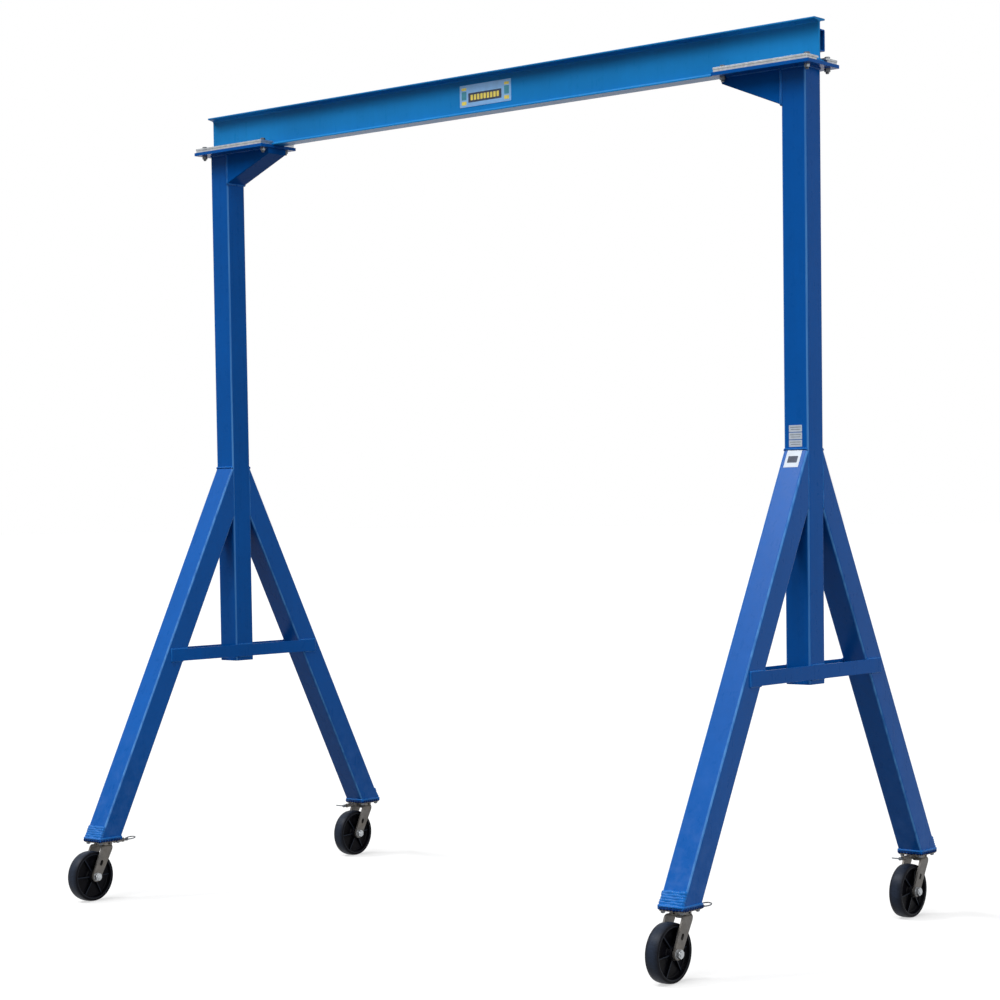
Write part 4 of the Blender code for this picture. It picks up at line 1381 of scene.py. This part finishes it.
class CRANE_OT_wheels(bpy.types.Operator):
    """Turns the ribbed wheels with their crowned treads"""

    bl_idname = "crane.wheels"
    bl_label = "Wheels"

    def execute(self, context):
        sizes = context.scene.crane_casters
        radius = JOINTS["wheel_spin_left_front"].z
        half = span("caster_wheel_left_front").x / 2
        bore = span("wheel_bearing_left_front").z / 2 + 0.0003
        rim, drop = 0.0254, sizes.tread_drop
        side = [
            (bore, half - 0.0006), (bore + 0.0006, half), (0.0232, half), (0.0242, half - 0.001),
            (0.0262, 0.0130), (0.0285, 0.0105), (0.0320, 0.0095), (0.0780, 0.0085), (0.0815, 0.0100),
            (0.0842, 0.0150), (0.0858, 0.0228), (0.0866, rim - 0.0007), (0.0880, rim),
            (0.0905, rim), (0.0915, rim - 0.0009), (0.0932, rim - 0.0009), (0.0942, rim - 0.0003),
            (radius - drop - 0.0016, rim - 0.0004), (radius - drop, rim - 0.0018),
            (radius - 0.72 * drop, 0.0215), (radius - 0.40 * drop, 0.0175), (radius - 0.12 * drop, 0.0125),
            (radius, 0.0070),
        ]
        profile = side + [(r, -x) for r, x in reversed(side)]
        wheel = lathe(profile, 96, True)
        for index in range(sizes.ribs):
            rib = self.rib(sizes.rib)
            angle = math.radians(30) + index * math.tau / sizes.ribs
            wheel = boolean(wheel, moved(rib, turn(angle)), "UNION")
        soften(wheel, 0.0009, 2, 60)
        wheel.normal_update()
        for face in wheel.faces:
            centre = face.calc_center_median()
            away = math.hypot(centre.x, centre.y)
            outward = abs(face.normal.z) > 0.5
            # The ribs' outer faces and the rim's lip take the lighter tread material.
            wear_and_sheen_rib = 0.030 < away < 0.078 and outward and abs(centre.z) > 0.0125
            wear_and_sheen_lip = 0.0868 < away < 0.0912 and abs(centre.z) > rim - 0.0008
            face.material_index = int(away > radius - drop - 0.001 or wear_and_sheen_rib or wear_and_sheen_lip)
        # Lighter towards the middle of the tread's width: partly wear, partly a painted sheen on the crown.
        rubbed = wheel.verts.layers.float.new("rubbed")
        for vert in wheel.verts:
            vert[rubbed] = max(0.0, 1 - (abs(vert.co.z) / 0.023) ** 2)
        mesh = as_mesh(moved(wheel, turn(math.pi / 2, "Y")))
        for index, corner in enumerate(CORNERS):
            show(f"ribbed_wheel_{corner}", mesh, ["wheel_side", "wheel_tread"],
                 [f"caster_wheel_{corner}"], body=f"wheel_{corner}",
                 place=hub_place(corner) @ turn(index * math.tau / 96, "X"), smooth=40)
        return {"FINISHED"}

    def rib(self, thickness):
        """One rib through the web, from the hub to the rim on both sides."""
        outline = [(0.0240, 0.0215, 0), (0.0240, -0.0215, 0), (0.0835, -0.0150, 0.002)]
        outline += [(0.0835, 0.0150, 0.002)]
        return moved(prism(outline, thickness, 3), at(0, thickness / 2, 0), TO_XZ)


class CRANE_OT_axles(bpy.types.Operator):
    """Makes the axle bolts with their nuts, and the bearings they pass through"""

    bl_idname = "crane.axles"
    bl_label = "Axles and bearings"

    def execute(self, context):
        grip = span("caster_fork_left_front").x
        head, nut, tail = 0.0115, 0.0145, 0.0035
        thin = 0.0012  # the axle's washers
        bolt = fastener(0.01905, 0.0286, head - thin, grip, nut - thin, tail + thin, thin, 0.0016)
        lie = at(-grip / 2, 0, 0) @ turn(-math.pi / 2, "Y")
        mesh = as_mesh(moved(bolt, lie))
        size = span("wheel_bearing_left_front")
        bore, radius, half = 0.0098, size.z / 2, size.x / 2
        profile = [(bore + 0.0005, -half), (radius - 0.0008, -half), (radius, 0.0008 - half)]
        profile += [(radius, half - 0.0008), (radius - 0.0008, half), (bore + 0.0005, half)]
        profile += [(bore, half - 0.0005), (bore, 0.0005 - half)]
        sleeve = as_mesh(moved(lathe(profile, 48, True), turn(math.pi / 2, "Y")))
        for index, corner in enumerate(CORNERS):
            place = hub_place(corner)
            spun = place @ turn(0.2 + 0.9 * index, "X")
            show(f"axle_bolt_{corner}", mesh, "bright_zinc", [f"caster_axle_{corner}"],
                 body=f"swivel_{corner}", place=spun)
            show(f"bearing_sleeve_{corner}", sleeve, "plain_steel",
                 [f"wheel_bearing_{corner}"], body=f"wheel_{corner}", place=place)
        return {"FINISHED"}


class CRANE_OT_locks(bpy.types.Operator):
    """Makes the swivel locks' plungers and pull rings"""

    bl_idname = "crane.locks"
    bl_label = "Swivel locks"

    def execute(self, context):
        sizes = context.scene.crane_casters
        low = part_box("swivel_lock_left_front")[0]
        axis = JOINTS["caster_swivel_left_front"]
        tip, height = low.y - axis.y, low.z + COLLAR
        profile = [
            (0, tip), (LOCK_PIN - 0.001, tip), (LOCK_PIN, tip + 0.0015), (LOCK_PIN, COLLAR_START),
            (0.0057, COLLAR_START), (COLLAR, COLLAR_START + 0.0008), (COLLAR, COLLAR_END - 0.001),
            (0.0055, COLLAR_END), (0, COLLAR_END),
        ]
        pin = moved(lathe(profile, 40), turn(LIE_BACK, "X"))
        wire, ring_radius = sizes.ring_wire, sizes.ring_radius
        ring = bmesh.new()
        section = bmesh.ops.create_circle(ring, segments=12, radius=wire)["verts"]
        edges = list({edge for vert in section for edge in vert.link_edges})
        moved(ring, at(ring_radius, 0, 0), turn(math.pi / 2, "X"))
        spun(ring, section + edges, 56)
        pivot = COLLAR_END - 0.00325
        moved(ring, at(0, pivot, 0), turn(math.radians(10), "X"), at(0, ring_radius, 0))
        mesh = as_mesh(moved(merged(pin, ring), at(0, 0, height)))
        for corner in CORNERS:
            show(f"lock_plunger_{corner}", mesh, "bolt_zinc", [f"swivel_lock_{corner}"],
                 body=f"lock_{corner}", place=swivel_place(corner) @ lock_turn(corner))
        return {"FINISHED"}


class CRANE_OT_stage(bpy.types.Operator):
    """Lays the pale floor and sets the light and the camera"""

    bl_idname = "crane.stage"
    bl_label = "Stage"

    def execute(self, context):
        stage = context.scene.crane_stage
        self.floor(stage)
        self.world(context, stage)
        self.lamp("key", stage.key, 5, 58, 42)
        self.lamp("accent", stage.accent, -50, 51, 14)
        self.lamp("fill", stage.fill, 84, 12, 30)
        self.camera(context.scene, stage)
        context.scene.view_settings.view_transform = "Standard"
        return {"FINISHED"}

    def floor(self, stage):
        bm = bmesh.new()
        bmesh.ops.create_grid(bm, x_segments=1, y_segments=1, size=150)
        bmesh.ops.translate(bm, verts=bm.verts, vec=(0, 0, -0.0005))
        ground = bpy.data.objects.new("floor", as_mesh(bm, "floor"))
        bpy.context.scene.collection.objects.link(ground)
        shader = Shader("stage_floor")
        seen = seen_directly(shader)
        shader.surface_sockets({
            "Base Color": shader.mix(seen, shade((stage.bounce,) * 3), shade(stage.floor)),
            "Roughness": 1.0,
            "Specular IOR Level": 0.0,
            "Emission Color": shader.mix(seen, (0, 0, 0, 1), (1, 1, 1, 1)),
            "Emission Strength": 0.60,
        })
        ground.data.materials.append(shader.material)

    def world(self, context, stage):
        """Even light, and pure white wherever it is seen or mirrored."""
        world = bpy.data.worlds.new("studio")
        context.scene.world = world
        world.use_nodes = True
        ambient = world.node_tree.nodes["Background"]
        ambient.inputs["Color"].default_value = (1, 1, 1, 1)
        shader = Shader("studio", world.node_tree)
        seen = seen_directly(shader)
        shader.set(ambient.inputs["Strength"], seen * (1 - stage.sky) + stage.sky)

    def lamp(self, name, strength, azimuth, elevation, angle):
        """A soft light from far off. The azimuth is from the front, towards the right."""
        level = math.cos(math.radians(elevation))
        direction = Vector((
            math.sin(math.radians(azimuth)) * level,
            -math.cos(math.radians(azimuth)) * level,
            math.sin(math.radians(elevation)),
        ))
        light = bpy.data.lights.new(name, "SUN")
        light.energy = strength
        light.angle = math.radians(angle)
        lamp = bpy.data.objects.new(name, light)
        lamp.rotation_euler = direction.to_track_quat("Z", "Y").to_euler()
        lamp.location = direction * 6
        bpy.context.scene.collection.objects.link(lamp)

    def camera(self, scene, stage):
        data = bpy.data.cameras.new("camera")
        data.lens = stage.lens
        data.sensor_width = 36.0
        data.shift_y = 0.129
        data.clip_end = 400
        camera = bpy.data.objects.new("camera", data)
        yaw, pitch, roll = 0.6952, -0.0502, -0.0144  # radians; yaw is from +Y towards -X
        level = Matrix.Rotation(yaw, 3, "Z") @ Matrix.Rotation(math.pi / 2 + pitch, 3, "X")
        camera.matrix_world = (level @ Matrix.Rotation(roll, 3, "Z")).to_4x4()
        camera.location = (5.9831, -7.0737, 1.5648)
        scene.collection.objects.link(camera)
        scene.camera = camera


def seen_directly(shader):
    """1 for what the camera sees, straight or in a mirror or glass, and 0 for other light."""
    def ray(kind):
        return shader.node("ShaderNodeLightPath", {}, {}, kind)

    total = ray("Is Camera Ray") + ray("Is Glossy Ray") + ray("Is Transmission Ray")
    return total.maths("MINIMUM", total, 1.0)


class CRANE_PT_panel(bpy.types.Panel):
    """Lists the crane's pieces and sizes"""

    bl_idname = "CRANE_PT_panel"
    bl_label = "Gantry crane"
    bl_space_type = "VIEW_3D"
    bl_region_type = "UI"
    bl_category = "Crane"

    def draw(self, context):
        layout = self.layout
        for operator in OPERATORS:
            layout.operator(operator.bl_idname)
        for group in GROUPS:
            box = layout.box()
            box.label(text=group)
            for name in GROUPS[group].__annotations__:
                box.prop(getattr(context.scene, group), name)


OPERATORS = (
    CRANE_OT_beam,
    CRANE_OT_end_stops,
    CRANE_OT_posts,
    CRANE_OT_legs,
    CRANE_OT_cross_bars,
    CRANE_OT_top_plates,
    CRANE_OT_gussets,
    CRANE_OT_clamps,
    CRANE_OT_foot_plates,
    CRANE_OT_welds,
    CRANE_OT_labels,
    CRANE_OT_caster_plates,
    CRANE_OT_forks,
    CRANE_OT_wheels,
    CRANE_OT_axles,
    CRANE_OT_locks,
    CRANE_OT_stage,
)
GROUPS = {
    "crane_steelwork": CraneSteelwork,
    "crane_casters": CraneCasters,
    "crane_finish": CraneFinish,
    "crane_stage": CraneStage,
}


def register():
    for group, properties in GROUPS.items():
        bpy.utils.register_class(properties)
        setattr(bpy.types.Scene, group, bpy.props.PointerProperty(type=properties))
    for operator in OPERATORS:
        bpy.utils.register_class(operator)
    bpy.utils.register_class(CRANE_PT_panel)


def unregister():
    bpy.utils.unregister_class(CRANE_PT_panel)
    for operator in reversed(OPERATORS):
        bpy.utils.unregister_class(operator)
    for group, properties in GROUPS.items():
        delattr(bpy.types.Scene, group)
        bpy.utils.unregister_class(properties)


def main():
    register()
    for operator in OPERATORS:
        name = operator.bl_idname.split(".")[1]
        getattr(bpy.ops.crane, name)()


if __name__ == "__main__":
    main()
